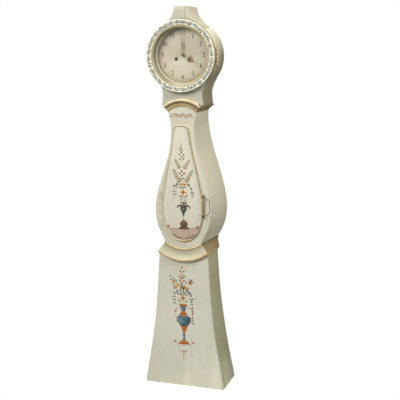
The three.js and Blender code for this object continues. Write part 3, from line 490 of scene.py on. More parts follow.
def revolved(profile, centre, steps=160, axis="Y", finish_of=None):
    """A closed turned form. profile holds (radius, distance along the axis) in mm, from the centre point.

    finish_of(band) may name the material of each band between two points of the profile, by number."""
    work = bmesh.new()
    rings = []
    for radius, along in profile:
        ring = []
        for i in range(steps):
            turn = 2 * math.pi * i / steps
            side, other = radius * MM * math.cos(turn), radius * MM * math.sin(turn)
            spot = (side, along * MM, other) if axis == "Y" else (side, other, along * MM)
            ring.append(work.verts.new(Vector(spot) + centre))
        rings.append(ring)
    for k, band in enumerate(skin(work, rings, closed=True)):
        for face in band:
            face.material_index = finish_of(k) if finish_of else 0
    bmesh.ops.remove_doubles(work, verts=work.verts, dist=1e-7)
    bmesh.ops.dissolve_degenerate(work, edges=work.edges, dist=1e-7)
    bmesh.ops.recalc_face_normals(work, faces=work.faces)
    mesh = released(work, "turned")
    soften(mesh, 32)
    return mesh


def arc(centre, radius, start, end, steps=8):
    """Points of an arc in a profile, with angles in degrees."""
    turns = [math.radians(start + (end - start) * i / steps) for i in range(steps + 1)]
    return [(centre[0] + radius * math.cos(t), centre[1] + radius * math.sin(t)) for t in turns]


def cut_plate(name, outlines, y_front, y_back, edge=0.5, steps=1):
    """A flat plate in X and Z, in metres. The first outline is its edge, and the others are its holes."""
    curve = bpy.data.curves.new(name, "CURVE")
    curve.dimensions = "2D"
    curve.fill_mode = "BOTH"
    curve.extrude = (y_back - y_front) / 2 - edge * MM
    curve.bevel_depth = edge * MM
    curve.bevel_resolution = steps
    curve.offset = -edge * MM
    for outline in outlines:
        spline = curve.splines.new("POLY")
        spline.points.add(len(outline) - 1)
        spline.use_cyclic_u = True
        for point, (x, z) in zip(spline.points, outline):
            point.co = (x, z, 0, 1)
    holder = bpy.data.objects.new(name, curve)
    bpy.context.scene.collection.objects.link(holder)
    bpy.context.view_layer.update()
    mesh = bpy.data.meshes.new_from_object(holder.evaluated_get(bpy.context.evaluated_depsgraph_get()))
    bpy.data.objects.remove(holder)
    mesh.transform(Matrix.Translation((0, (y_front + y_back) / 2, 0)) @ Matrix.Rotation(math.pi / 2, 4, "X"))
    work = bmesh.new()
    work.from_mesh(mesh)
    bmesh.ops.remove_doubles(work, verts=work.verts, dist=1e-6)
    bmesh.ops.recalc_face_normals(work, faces=work.faces)
    work.to_mesh(mesh)
    work.free()
    mesh.materials.clear()
    soften(mesh)
    return mesh


def tube(points, radii, sides=12, closed=False):
    """A round bar along points, in metres, with one radius for each point, in mm."""
    work = bmesh.new()
    rings = []
    count = len(points)
    side = None
    for i, point in enumerate(points):
        before = points[i - 1] if (i or closed) else points[0]
        after = points[(i + 1) % count] if (i < count - 1 or closed) else points[-1]
        along = (after - before).normalized()
        side = side or along.orthogonal().normalized()
        side = (side - along * side.dot(along)).normalized()
        other = along.cross(side)
        turns = [2 * math.pi * k / sides for k in range(sides)]
        rings.append([work.verts.new(point + (side * math.cos(t) + other * math.sin(t)) * radii[i] * MM)
                      for t in turns])
    skin(work, rings, closed)
    if not closed:
        work.faces.new(rings[0])
        work.faces.new(rings[-1])
    bmesh.ops.recalc_face_normals(work, faces=work.faces)
    mesh = released(work, "tube")
    soften(mesh, 50)
    return mesh


def smooth_path(points, steps=8, closed=False):
    """A Catmull-Rom curve through points of any size."""
    count = len(points)
    spans = count if closed else count - 1
    path = []
    for i in range(spans):
        p1, p2 = points[i], points[(i + 1) % count]
        p0 = points[i - 1] if (i or closed) else p1
        p3 = points[(i + 2) % count] if (i < count - 2 or closed) else p2
        for k in range(steps):
            t = k / steps
            path.append(0.5 * (2 * p1 + (p2 - p0) * t + (2 * p0 - 5 * p1 + 4 * p2 - p3) * t * t
                               + (3 * p1 - p0 - 3 * p2 + p3) * t ** 3))
    if not closed:
        path.append(points[-1].copy())
    return path


# ---------------------------------------------------------------- brushwork

PIGMENTS = {
    "olive": (0.135, 0.125, 0.032),
    "leaf_dark": (0.045, 0.048, 0.02),
    "ochre": (0.38, 0.25, 0.09),
    "orange": (0.68, 0.29, 0.035),
    "burnt": (0.42, 0.10, 0.008),
    "red": (0.31, 0.052, 0.010),
    "brick": (0.20, 0.055, 0.02),
    "umber": (0.12, 0.07, 0.035),
    "slate": (0.10, 0.14, 0.15),
    "blue": (0.07, 0.14, 0.24),
    "urn_blue": (0.075, 0.145, 0.185),
    "urn_light": (0.22, 0.34, 0.38),
    "urn_dark": (0.028, 0.052, 0.058),
    "teal": (0.09, 0.24, 0.27),
    "rose": (0.50, 0.22, 0.14),
    # Painted shade: this black also lines the winding holes and darkens the winding squares; in the
    # decoration it is black paint.
    "soot": (0.028, 0.024, 0.018),
    "numeral": (0.035, 0.028, 0.018),
    "gold_paint": (0.34, 0.27, 0.12),
    "crack": (0.16, 0.13, 0.07),
}
for shade, tone in PIGMENTS.items():
    FINISHES[shade] = pigment("pigment_" + shade, tone)


def ring_points(x, z, radius, count=28, tall=1.0):
    turns = [2 * math.pi * i / count for i in range(count)]
    return [(x + radius * math.cos(t), z + radius * tall * math.sin(t)) for t in turns]


def directions(angle):
    """Unit vectors along an angle in degrees and to its left."""
    along = Vector((math.cos(math.radians(angle)), math.sin(math.radians(angle))))
    return along, Vector((-along.y, along.x))


class Brushwork:
    """Strokes of paint on one surface, as thin closed slabs. Places are in mm, as X and height Z.

    surface(x, z) gives the Y of the ground under a place, in metres. Each shade of paint lies a little over
    the one used before it. A stroke with a higher coat lies over all strokes with a lower one."""

    THICK = 0.00009
    STEP = 0.000012
    COAT = 0.00018

    def __init__(self, name, body, slot, surface):
        self.name, self.body, self.slot, self.surface = name, body, slot, surface
        self.layers = {}
        self.coat = 0

    def shape(self, shade, outline):
        self.layers.setdefault(shade, []).append((outline, self.coat))

    def dot(self, shade, x, z, radius, tall=1.0):
        self.shape(shade, ring_points(x, z, radius, 12, tall))

    def leaf(self, shade, x, z, angle, length, width):
        """A leaf from its stalk at x, z. The angle is in degrees, 0 to the right and 90 upwards."""
        along, across = directions(angle)
        outline = []
        for way, shares in ((1, range(0, 8)), (-1, range(8, 0, -1))):
            for k in shares:
                share = k / 8
                swell = math.sin(math.pi * share ** 0.85) * width / 2
                outline.append(tuple(Vector((x, z)) + along * length * share + across * swell * way))
        self.shape(shade, outline)

    def stroke(self, shade, points, widths, steps=5):
        """A brush line through points, with its widths spread along it."""
        widths = spread(widths, len(points))
        path = smooth_path([Vector((x, z, width)) for (x, z), width in zip(points, widths)], steps)
        left, right = [], []
        for i, point in enumerate(path):
            ahead = path[min(i + 1, len(path) - 1)] - path[max(i - 1, 0)]
            across = Vector((-ahead.y, ahead.x))
            across = across.normalized() * max(point.z, 0.15) / 2
            left.append((point.x + across.x, point.y + across.y))
            right.append((point.x - across.x, point.y - across.y))
        self.shape(shade, left + right[::-1])

    def flower(self, shade, x, z, size, petals=4, turn=45, heart=None):
        for k in range(petals):
            out = directions(turn + 360 * k / petals)[0] * size * 0.58
            self.dot(shade, x + out.x, z + out.y, size * 0.42)
        if heart:
            self.heart(heart, x, z, size * 0.26)

    def heart(self, shade, x, z, radius, tall=1.0):
        """A dot one coat above the others."""
        self.coat += 1
        self.dot(shade, x, z, radius, tall)
        self.coat -= 1

    def leaves(self, shade, *rows):
        for row in rows:
            self.leaf(shade, *row)

    def dots(self, shade, *rows):
        for row in rows:
            self.dot(shade, *row)

    def strokes(self, shade, *rows):
        for points, widths in rows:
            self.stroke(shade, points, widths)

    def flowers(self, *rows):
        for row in rows:
            self.flower(*row)

    def finish(self):
        for layer, (shade, drawn) in enumerate(self.layers.items()):
            work = bmesh.new()
            for outline, coat in drawn:
                area = sum(a[0] * b[1] - b[0] * a[1] for a, b in zip(outline, outline[1:] + outline[:1]))
                if area < 0:
                    outline = outline[::-1]
                lift = self.THICK + layer * self.STEP + coat * self.COAT
                top, low = ([work.verts.new((x * MM, self.surface(x, z) - rise, z * MM)) for x, z in outline]
                            for rise in (lift, -self.STEP))
                work.faces.new(top)
                work.faces.new(low[::-1])
                for corners in zip(top[1:] + top[:1], top, low, low[1:] + low[:1]):
                    work.faces.new(corners)
            bmesh.ops.recalc_face_normals(work, faces=work.faces)
            name = f"{self.name}_{shade}"
            add_piece(name, released(work, name), [shade], self.body)


def spread(values, count):
    """A few values stretched over count places."""
    if len(values) == count:
        return values
    out = []
    for i in range(count):
        share = i * (len(values) - 1) / (count - 1)
        low = min(int(share), len(values) - 2)
        out.append(values[low] + (values[low + 1] - values[low]) * (share - low))
    return out


def flat_at(y):
    return lambda x, z: y


def four_dots(art, x, z, aside, above, radius):
    for dx, dz in ((0, above), (-aside, 0), (aside, 0), (1, -above)):
        art.dot("red", x + dx, z + dz, radius * 1.15, 0.85)


def cross_flower(art, x, z):
    art.leaves("orange", (x, z, 90, 24, 10), (x, z, 270, 22, 10), (x, z, 0, 22, 10), (x, z, 180, 20, 10))
    for angle in (45, 135, 225, 315):
        art.leaf("ochre", x, z, angle, 10, 4)
    art.heart("brick", x, z, 4.6)


def leafy_sprig(art, x, z, angle, length, pairs, leaf):
    """A stem with two rows of leaves, darker and lighter by turns, and buds between them."""
    along, across = directions(angle)
    root = Vector((x, z))
    tip = root + along * length
    art.stroke("olive", [(x, z), tuple(tip)], [1.6, 0.8])
    for k in range(pairs):
        foot = root + along * length * (k + 0.35) / pairs
        size = leaf * (1 - 0.3 * k / pairs)
        for way in (-1, 1):
            shade = ("olive", "leaf_dark", "ochre")[(k + (way > 0)) % 3]
            start = foot + across * way * 1.5
            art.leaf(shade, *start, angle + way * 38, size, size * 0.42)
        bud = foot + across * (3 if k % 2 else -3) + along * length * 0.5 / pairs
        art.dot("orange", *bud, size * 0.19)
    art.leaf("leaf_dark", *tip, angle, leaf * 0.75, leaf * 0.3)


def paint_door_bouquet(art):
    """The bouquet on the door, from its spire down to the leaves over the urn."""
    for k, z in enumerate((1334, 1345, 1356, 1367)):
        left, right = ("olive", "ochre") if k == 1 else ("ochre", "olive")
        art.leaf(left, -7, z, 130 - 4 * k, 15 - 2.4 * k, 5.2 - 0.5 * k)
        art.leaf(right, -5, z, 50 + 4 * k, 14 - 2.4 * k, 5.2 - 0.5 * k)
    art.stroke("ochre", [(-6, 1332), (-6, 1380)], [1.6, 1.0])
    art.leaf("ochre", -6, 1380, 90, 9, 3.6)
    four_dots(art, -4, 1317, 11, 12, 4.6)
    four_dots(art, -2, 1215, 12.5, 11.5, 5.2)
    art.leaves("leaf_dark", (-5, 1284, 132, 20, 5.5), (3, 1288, 62, 24, 5.5), (-1, 1181, 138, 19, 5.5),
               (1, 1181, 42, 20, 5.5))
    art.stroke("slate", [(-2, 1284), (-1, 1262), (0, 1234)], [0.9, 1.3, 0.9])
    for sprig in ((-13, 1238, 117, 52, 4, 15), (9, 1238, 57, 54, 4, 15), (-12, 1162, 119, 74, 5, 18),
                  (19, 1162, 62, 72, 5, 18)):
        leafy_sprig(art, *sprig)
    art.flowers(("blue", -29, 1155, 8, 4, 45, "slate"), ("orange", -10, 1154, 8.5, 5, 90, "burnt"),
                ("orange", 12, 1154, 9.5, 5, 90, "burnt"), ("urn_blue", 35, 1154, 7.5, 4, 45, "teal"),
                ("teal", 51, 1132, 7, 4, 0, "urn_blue"))
    art.dot("teal", -45, 1131, 3)
    art.strokes("olive", ([(0, 1200), (1, 1160), (3, 1068)], [1.2, 2.0, 1.6]),
                ([(-20, 1146), (-40, 1150), (-47, 1130), (-45, 1084)], [1.6, 2.0, 1.2, 0.8]),
                ([(24, 1148), (40, 1148), (53, 1126), (58, 1086)], [1.6, 2.0, 1.2, 0.8]))
    art.strokes("leaf_dark", ([(-46, 1092), (-45, 1080)], [3.2, 2.2]), ([(58, 1092), (58, 1080)], [3.0, 2.2]))
    for k, z in enumerate((1119, 1103)):
        art.leaves("leaf_dark", (-47, z, 226, 15 - 2 * k, 5), (-43, z, -44, 15 - 2 * k, 5))
    art.leaves("leaf_dark", (1, 1137, 176, 24, 6), (3, 1138, 4, 24, 6), (-42, 1150, 212, 20, 6),
               (-40, 1150, -66, 22, 6), (36, 1148, -36, 14, 5), (54, 1118, 242, 17, 5),
               (55, 1118, -38, 22, 5.5), (57, 1102, 226, 11, 4.4), (58, 1102, -50, 10, 4.2))
    cross_flower(art, 4, 1111)
    art.leaves("olive", (2, 1079, 140, 30, 7), (8, 1079, 40, 34, 7), (0, 1066, 158, 17, 6),
               (8, 1066, 20, 18, 6))


def turned_outline(x, rows):
    """The outline of a vase drawn from half-widths at heights."""
    path = smooth_path([Vector((half, z, 0)) for half, z in rows], 4)
    return [(x + p.x, p.y) for p in path] + [(x - p.x, p.y) for p in path[::-1]]


def paint_door_urn(art):
    """A dark footed urn with drooping arms, standing on two domes."""
    middle = 6
    art.shape("urn_blue", turned_outline(middle + 2, [(9, 1050), (8, 1045), (10, 1039)]))
    art.stroke("umber", [(-12, 1056), (7, 1054), (27, 1057)], [5.5, 6.5, 5.5])
    for way in (-1, 1):
        arm = [(8, 1039), (22, 1039), (34, 1033), (37, 1025), (30, 1022)]
        art.stroke("soot", [(middle + way * out, z) for out, z in arm], [7, 8.5, 6, 3.5, 1.2])
    bowl = [(19, 1036), (19, 1026), (17, 1014), (11, 1003), (5, 996)]
    art.shape("urn_dark", turned_outline(middle, bowl))
    art.dot("urn_dark", 5, 991, 7.2, 1.15)
    art.stroke("urn_dark", [(5, 985), (5, 970), (6, 953)], [3.4, 1.8, 4])
    art.shape("umber", turned_outline(middle + 1, [(3, 957), (12, 952), (20, 943), (23, 934), (17, 927)]))
    art.shape("umber", turned_outline(middle + 2, [(14, 927), (20, 922), (27, 914), (31, 907)]))
    art.coat = 1
    for way in (-1, 1):
        shine = [(middle + way * 8, 1037), (middle + way * 22, 1036), (middle + way * 30, 1031)]
        art.stroke("slate", shine, [2, 3, 1.4])
    art.strokes("burnt", ([(-9, 1050), (7, 1048), (24, 1051)], [2, 2.6, 2]),
                ([(-10, 1040), (6, 1037), (23, 1041)], [2, 3.4, 2]),
                ([(-6, 938), (7, 935), (20, 939)], [3, 5.5, 3]),
                ([(-10, 915), (8, 913), (26, 917)], [2, 4, 2]))
    art.strokes("slate", ([(-4, 1028), (-2, 1014), (3, 1003)], [5, 5.5, 2]),
                ([(15, 1028), (14, 1016), (10, 1005)], [4.5, 4.5, 2]))
    art.strokes("ochre", ([(5, 1028), (5, 1016), (6, 1006)], [2.4, 3.4, 1.4]),
                ([(-2, 944), (6, 942), (14, 945)], [2, 3.2, 2]))
    art.strokes("soot", ([(-12, 929), (7, 925), (26, 930)], [1.8, 3.4, 1.8]),
                ([(-22, 908), (8, 907), (38, 911)], [1.8, 2.6, 1.8]))
    art.dot("slate", 4, 992, 3.2, 1.2)
    art.coat = 0


def inside(outline, x, z):
    hit = False
    for (x1, z1), (x2, z2) in zip(outline, outline[1:] + outline[:1]):
        if (z1 > z) != (z2 > z) and x < (x2 - x1) * (z - z1) / (z2 - z1) + x1:
            hit = not hit
    return hit


def lay_wire(art, run):
    """One line of the lattice, from the first to the last place of a run."""
    if len(run) > 1:
        art.stroke("rose", [run[0], run[-1]], [1.5, 1.5], 1)


def paint_door_ground(art, outline):
    """The red line across the foot of the door, the lattice below it, and its laurel leaves."""
    def line_height(x):
        return 911 + 0.055 * x

    spacing, stride, foot = 8.5, 2, 825
    for way in (-1, 1):
        for k in range(-26, 27):
            run = []
            for step in range(62):
                x, z = k * spacing + way * (step * stride - 60), foot + step * stride
                if z < line_height(x) - 2 and inside(outline, x, z):
                    run.append((x, z))
                else:
                    lay_wire(art, run)
                    run = []
            lay_wire(art, run)
    art.stroke("brick", [(x, line_height(x)) for x in (-84, 0, 91)], [2.4, 2.6, 2.4])
    art.dots("red", (-84, 918, 8), (87, 921, 8))
    art.dots("orange", (-82.5, 918.5, 2.4), (88.5, 921.5, 2.4))
    art.coat = 1
    middle = 3
    for way in (-1, 1):
        for k, (out, z) in enumerate(((13, 853), (27, 856), (41, 863), (54, 873))):
            art.leaf("leaf_dark", middle + way * out, z, 90 - way * (68 + 3 * k), 17, 5.2)
            art.leaf("olive", middle + way * (out - 3), z - 1, 90 - way * 22, 10, 4.2)
    art.coat = 0


def paint_base_bouquet(art):
    """The bouquet on the base: a bud on top, two leaning sprays and two that hang beside the urn."""
    art.leaf("orange", -9, 676, 90, 22, 11)
    art.leaves("leaf_dark", (-11, 658, 135, 20, 6), (-6, 658, 48, 22, 6), (-11, 629, 154, 24, 6),
               (-6, 629, 34, 24, 6))
    art.shape("orange", turned_outline(-8, [(3, 639), (8, 643), (10, 651), (5, 649)]))
    four_dots(art, -8, 614, 12, 11.5, 5.2)
    for points in ([(-9, 598), (-4, 572), (2, 534)], [(-19, 578), (-17, 556), (-9, 534)],
                   [(19, 568), (13, 550), (3, 532)], [(-16, 600), (-15, 584), (-9, 566)],
                   [(5, 592), (3, 574), (0, 560)]):
        art.stroke("olive", points, [3.4, 6.4, 4.4])
    art.strokes("olive", ([(-62, 549), (-38, 540), (-22, 534), (-8, 529)], [2.6, 6, 6.4, 4.4]),
                ([(46, 544), (26, 536), (10, 530)], [2.4, 5, 4.4]),
                ([(-56, 540), (-56, 516), (-53, 496), (-56, 478)], [1.6, 1.6, 1.2, 0.8]),
                ([(47, 492), (52, 455), (52, 405), (58, 362)], [1.4, 1.6, 1.4, 0.8]))
    art.leaves("leaf_dark", (-70, 627, 128, 20, 6), (-66, 614, 172, 16, 6), (-60, 618, 88, 13, 6),
               (-42, 597, 95, 20, 6), (-48, 577, 215, 14, 6), (-48, 567, 195, 13, 6), (41, 608, 108, 19, 6),
               (44, 608, 68, 20, 6), (34, 540, 70, 11, 6), (34, 543, 8, 14, 6), (46, 514, 205, 18, 6),
               (48, 514, -22, 18, 6), (54, 372, -52, 15, 5), (-26, 498, 150, 9, 4.4))
    art.leaves("olive", (-51, 584, 172, 18, 6), (-48, 592, 120, 12, 6), (46, 606, 12, 17, 6),
               (18, 594, 100, 18, 6), (21, 558, 60, 15, 6), (-15, 490, 150, 20, 8), (7, 490, 30, 20, 8))
    art.flower("orange", -60, 604, 8.5, 5, 90, "rose")
    art.dot("brick", -52, 613, 4)
    art.flowers(("orange", -33, 587, 8.5, 5, 90, "burnt"), ("orange", -42, 573, 7.5, 5, 60, "rose"),
                ("blue", -35, 553, 7.5, 4, 45, "slate"), ("orange", 35, 605, 7.5, 5, 60),
                ("orange", 42, 600, 9.5, 5, 90, "burnt"), ("orange", 11, 573, 9.5, 5, 90, "burnt"),
                ("ochre", 26, 570, 6.5, 5, 60, "orange"), ("blue", 28, 552, 8, 4, 45, "slate"),
                ("teal", 43, 531, 8.5, 4, 45, "blue"), ("teal", 47, 496, 7.5, 4, 45, "blue"))
    art.dot("orange", 47, 507, 4.5)
    art.dot("blue", -52, 532, 4.4)
    for x, z in ((-56, 522), (-53, 504), (-54, 486)):
        art.leaves("leaf_dark", (x, z, 222, 14, 5), (x + 2, z, -48, 12, 5))
    for x, z in ((51, 486), (53, 464), (52, 444), (51, 408), (52, 393), (52, 378)):
        art.leaves("leaf_dark", (x, z, 236, 12, 4.6), (x + 1, z, -56, 12, 4.6))
    cross_flower(art, -4, 512)


def paint_base_urn(art):
    """A blue two-handled urn with burnt orange bands, its foot on a dome."""
    middle = 2
    art.shape("urn_blue", turned_outline(-2, [(17, 466), (12, 452), (11, 438)]))
    art.shape("burnt", turned_outline(-2, [(20, 479), (24, 473), (20, 466)]))
    art.shape("burnt", turned_outline(-1, [(11, 438), (13, 431), (21, 422), (27, 411)]))
    art.coat = 1
    art.strokes("urn_light", ([(-6, 460), (-5, 450), (-5, 440)], [3, 4, 3]),
                ([(-24, 402), (-23, 385), (-14, 366)], [5, 9, 4]),
                ([(-10, 404), (-8, 388), (-3, 368)], [3, 5, 2.5]))
    art.strokes("urn_dark", ([(5, 462), (6, 450), (6, 440)], [3, 4, 3]),
                ([(30, 404), (29, 386), (18, 366)], [7, 13, 8]),
                ([(12, 362), (4, 356), (-10, 358)], [5, 7, 3]),
                ([(-6, 308), (1, 305), (9, 307)], [6, 8, 6]), ([(5, 300), (5, 286), (8, 270)], [3, 2.4, 4]))
    art.strokes("orange", ([(-20, 476), (-2, 474), (16, 478)], [1.6, 3, 1.6]),
                ([(-12, 433), (-1, 431), (10, 435)], [2.4, 4, 2.4]),
                ([(-23, 416), (-1, 413), (21, 418)], [2.4, 4, 2.4]),
                ([(-17, 259), (2, 262), (20, 261)], [2, 4.5, 2]))
    for z, half in ((342, 13), (333, 9)):
        art.stroke("orange", [(3 - half, z), (3, z - 3), (3 + half, z + 1)], [1.4, 2.4, 1.4])
    art.strokes("umber", ([(-19, 424), (-1, 421), (17, 426)], [1.8, 3.4, 1.8]),
                ([(-16, 355), (3, 350), (24, 357)], [2.4, 4, 2.4]),
                ([(-25, 248), (2, 246), (29, 250)], [1.6, 3.2, 1.6]))
    art.coat = 0
    bowl = [(30, 410), (37, 404), (41, 394), (38, 380), (33, 368), (24, 353)]
    art.shape("urn_blue", turned_outline(middle, bowl))
    cone = [(24, 357), (19, 350), (20, 346), (15, 338), (16, 334), (10, 326), (10, 321), (4, 312)]
    art.shape("burnt", [(3 + half, z) for half, z in cone] + [(3 - half, z) for half, z in cone[::-1]])
    art.shape("urn_blue", turned_outline(middle, [(6, 301), (5, 288), (6, 275), (12, 266)]))
    art.shape("burnt", turned_outline(middle, [(6, 270), (16, 266), (25, 258), (31, 248), (28, 245)]))
    foot = [(27, 250), (33, 245), (33, 237)]
    curl = [(48, 256), (40, 250), (32, 250)]
    for way in (-1, 1):
        art.stroke("burnt", [(middle + way * out, z) for out, z in foot], [3, 4, 3])
        art.dot("burnt", middle + way * 54, 258, 6.2)
        art.stroke("rose", [(middle + way * out, z) for out, z in curl], [1.6, 1.8, 1.6])
    art.strokes("rose", ([(-15, 243), (1, 237), (16, 244)], [2, 3.6, 2]),
                ([(-14, 439), (-21, 451), (-34, 456), (-44, 448), (-47, 438)], [1.8, 2.4, 3, 2.6, 2]),
                ([(-48, 430), (-45, 405), (-40, 380)], [1.8, 2.4, 2]),
                ([(42, 396), (43, 386), (39, 378)], [1.4, 1.8, 1.6]),
                ([(-42, 476), (-39, 470), (-36, 463)], [1.6, 2, 1.2]),
                ([(39, 480), (37, 471), (36, 463)], [1.6, 2, 1.2]),
                ([(0, 194), (-1, 180), (-1, 160)], [1.4, 1.0, 0.8]))
    handle = [(14, 440), (20, 453), (32, 460), (44, 456), (51, 442), (53, 428)]
    art.stroke("burnt", handle, [2, 2.8, 3.2, 2.8, 2.4, 2])
    art.dots("burnt", (-47, 435, 6.2), (53, 424, 5.6))
    art.dots("rose", (38, 377, 4.6), (-1, 159, 4.4))
    art.dots("red", (-40, 377, 4), (0, 200, 6, 1.2), (-1, 178, 5))
    art.strokes("red", ([(-22, 211), (-20, 206), (-14, 203)], [3, 6, 2.5]),
                ([(11, 205), (18, 206), (23, 207)], [2.5, 6, 3.5]))


def on_ring(turn, reach):
    """A place on the round door, turned clockwise from its top and at a reach from its middle, in mm."""
    return HOOD.x / MM + math.sin(turn) * reach, HOOD.z / MM + math.cos(turn) * reach


def paint_ring(art):
    """A garland on the band of the round door: loose dark leaves with small blue flowers between them."""
    middle = 176.0
    groups = 32
    for k in range(groups):
        turn = 2 * math.pi * (k + 0.3 + chance.uniform(-0.08, 0.08)) / groups
        x, z = on_ring(turn, middle + chance.uniform(-3.5, 3.5))
        for petal in range(4):
            spin = math.radians(45 + 90 * petal) - turn
            shade = "blue" if (petal + k) % 3 else "urn_dark"
            art.dot(shade, x + 4.9 * math.cos(spin), z + 4.9 * math.sin(spin), 3.2)
        for step in (0.3, 0.5, 0.7):
            foot = turn + 2 * math.pi * step / groups
            x, z = on_ring(foot, middle + chance.uniform(-2.0, 2.0))
            back = 180 - math.degrees(foot)
            for side in (-1, 1):
                shade = "olive" if chance.uniform(0, 1) < 0.25 else "leaf_dark"
                art.leaf(shade, x, z, back + side * chance.uniform(48, 84), chance.uniform(9.0, 14.5), 5.4)


def paint_ring_spots(art):
    """Two red strokes and a red spot with an orange heart, at the upper right of the band."""
    for turn, reach in ((0.66, 186.8), (0.80, 187.0)):
        x, z = on_ring(turn, reach)
        lean = -turn - math.radians(4)
        aside, above = 9 * math.cos(lean), 9 * math.sin(lean)
        art.stroke("red", [(x - aside, z - above), (x, z), (x + aside, z + above)], [0.8, 2.6, 0.8])
    x, z = on_ring(1.27, 166.6)
    art.dot("burnt", x, z, 3.4, 1.7)
    art.heart("orange", x - 1, z + 1, 1.6, 1.6)


# Strokes of each figure in a box 1 wide and 1.6 tall: points from its lower left, then widths.
FIGURES = {
    "0": [([(0.5, 1.6), (0.06, 1.15), (0.08, 0.4), (0.5, 0.0)], [0.06, 0.2, 0.2, 0.05]),
          ([(0.5, 1.6), (0.94, 1.15), (0.92, 0.4), (0.5, 0.0)], [0.05, 0.12, 0.12, 0.05])],
    "1": [([(0.5, 0.0), (0.5, 0.8), (0.52, 1.6)], [0.16, 0.24, 0.12]),
          ([(0.5, 1.56), (0.22, 1.3)], [0.12, 0.05]), ([(0.25, 0.03), (0.78, 0.03)], [0.06, 0.06])],
    "2": [([(0.1, 1.2), (0.25, 1.55), (0.7, 1.55), (0.86, 1.2), (0.5, 0.6), (0.05, 0.08)],
           [0.2, 0.1, 0.12, 0.24, 0.14, 0.05]),
          ([(0.05, 0.1), (0.5, 0.16), (1.0, 0.04), (1.02, 0.22)], [0.08, 0.2, 0.16, 0.05])],
    "3": [([(0.1, 1.35), (0.4, 1.6), (0.85, 1.35), (0.75, 1.0), (0.4, 0.85)], [0.18, 0.08, 0.22, 0.16, 0.05]),
          ([(0.4, 0.85), (0.9, 0.65), (0.85, 0.15), (0.4, 0.0), (0.08, 0.2)], [0.05, 0.18, 0.24, 0.1, 0.2])],
    "4": [([(0.72, 1.6), (0.05, 0.55), (1.0, 0.5)], [0.06, 0.1, 0.14]),
          ([(0.7, 1.5), (0.68, 0.0)], [0.2, 0.24])],
    "5": [([(0.9, 1.55), (0.3, 1.52)], [0.2, 0.14]), ([(0.3, 1.5), (0.22, 0.95)], [0.06, 0.06]),
          ([(0.22, 0.95), (0.6, 1.02), (0.95, 0.6), (0.6, 0.02), (0.08, 0.2)], [0.06, 0.1, 0.24, 0.1, 0.2])],
    "6": [([(0.85, 1.5), (0.35, 1.3), (0.08, 0.6), (0.45, 0.0)], [0.1, 0.12, 0.24, 0.08]),
          ([(0.45, 0.0), (0.92, 0.4), (0.55, 0.85), (0.12, 0.6)], [0.08, 0.2, 0.08, 0.05])],
    "7": [([(0.06, 1.3), (0.12, 1.52), (0.5, 1.45), (0.95, 1.55)], [0.08, 0.2, 0.14, 0.1]),
          ([(0.95, 1.55), (0.55, 0.8), (0.4, 0.0)], [0.06, 0.14, 0.26])],
    "8": [([(0.5, 1.6), (0.12, 1.25), (0.5, 0.88), (0.92, 0.42), (0.5, 0.0)], [0.06, 0.16, 0.2, 0.18, 0.06]),
          ([(0.5, 1.6), (0.85, 1.28), (0.5, 0.88), (0.08, 0.4), (0.5, 0.0)], [0.06, 0.1, 0.1, 0.14, 0.06])],
    "9": [([(0.55, 0.75), (0.1, 1.1), (0.5, 1.6), (0.88, 1.2)], [0.08, 0.2, 0.08, 0.14]),
          ([(0.88, 1.2), (0.85, 0.5), (0.2, 0.05)], [0.16, 0.22, 0.08]),
          ([(0.88, 1.15), (0.55, 0.75)], [0.06, 0.08])],
}


def paint_numerals(art):
    """Upright figures round the dial, thick and thin."""
    tall = 26.0
    unit = tall / 1.6
    stride = unit * 0.86
    narrow, heavy = 0.72, 1.3
    for hour in range(1, 13):
        turn = math.radians(30 * hour)
        x = DIAL.x / MM + 115 * math.sin(turn)
        z = DIAL.z / MM + 114.5 * math.cos(turn)
        text = str(hour)
        for place, figure in enumerate(text):
            left = x - len(text) * stride / 2 + place * stride
            for points, widths in FIGURES[figure]:
                line = [(left + px * unit * narrow, z - tall / 2 + pz * unit) for px, pz in points]
                art.stroke("numeral", line, [w * unit * heavy for w in widths], 6)


# ---------------------------------------------------------------- case

def door_outline():
    """The lip of the waist door, as X and Z in metres, in order round its edge."""
    corners = {}
    for vertex in nodes["waist_door"].data.vertices:
        if abs(vertex.co.y - DOOR_FACE) < 0.0001:
            corners[(round(vertex.co.x, 5), round(vertex.co.z, 5))] = None
    middle = centre_of("waist_door")
    ordered = sorted(corners, key=lambda c: math.atan2(c[1] - middle.z, 4 * (c[0] - middle.x)))
    smooth = smooth_path([Vector((x, z)) for x, z in ordered], 4, closed=True)
    return [(p.x, p.y) for p in smooth]


def inset(outline, distance):
    """The same outline drawn in by a distance in metres. It runs anticlockwise."""
    moved = []
    for i, (x, z) in enumerate(outline):
        before, after = Vector(outline[i - 2]), Vector(outline[(i + 2) % len(outline)])
        along = (after - before).normalized()
        moved.append((x - along.y * distance, z + along.x * distance))
    return moved


def build_base():
    # Painted shade: the base darkens towards its foot, and its sides take a darker, more olive copy of the
    # paint.
    refined("base_front_board", "base_paint", 1.2)
    for side in ("left", "right"):
        refined(f"base_side_{side}", "base_side", 1.0)
    refined("base_bottom_board")
    refined("base_top_frame")
    art = Brushwork("base_art", "case", "painted_wood", flat_at(FRONT))
    paint_base_bouquet(art)
    paint_base_urn(art)
    for points in ([(44, 330), (45, 240), (43, 150)], [(74, 560), (76, 500), (74, 470)],
                   [(40, 110), (41, 60), (39, 22)]):
        art.stroke("crack", points, [0.3, 0.7, 0.3])
    art.finish()


# Heights of the middles of the arcs that the two front mouldings follow.
COLLAR_ARC = 0.965
THROAT_ARC = 1.449


def collar_bands(spot, normal):
    """Gilded beads along the top and foot of the cream hollow."""
    if normal.y < -0.99 and abs(spot.y - FRONT) < 0.001:
        return "moulding_paint"
    top_bead, foot_bead = 0.176, 0.227
    reach = math.hypot(spot.x, spot.z - COLLAR_ARC)
    if reach > foot_bead:
        return "bright_gold"
    return "old_gold" if reach < top_bead else None


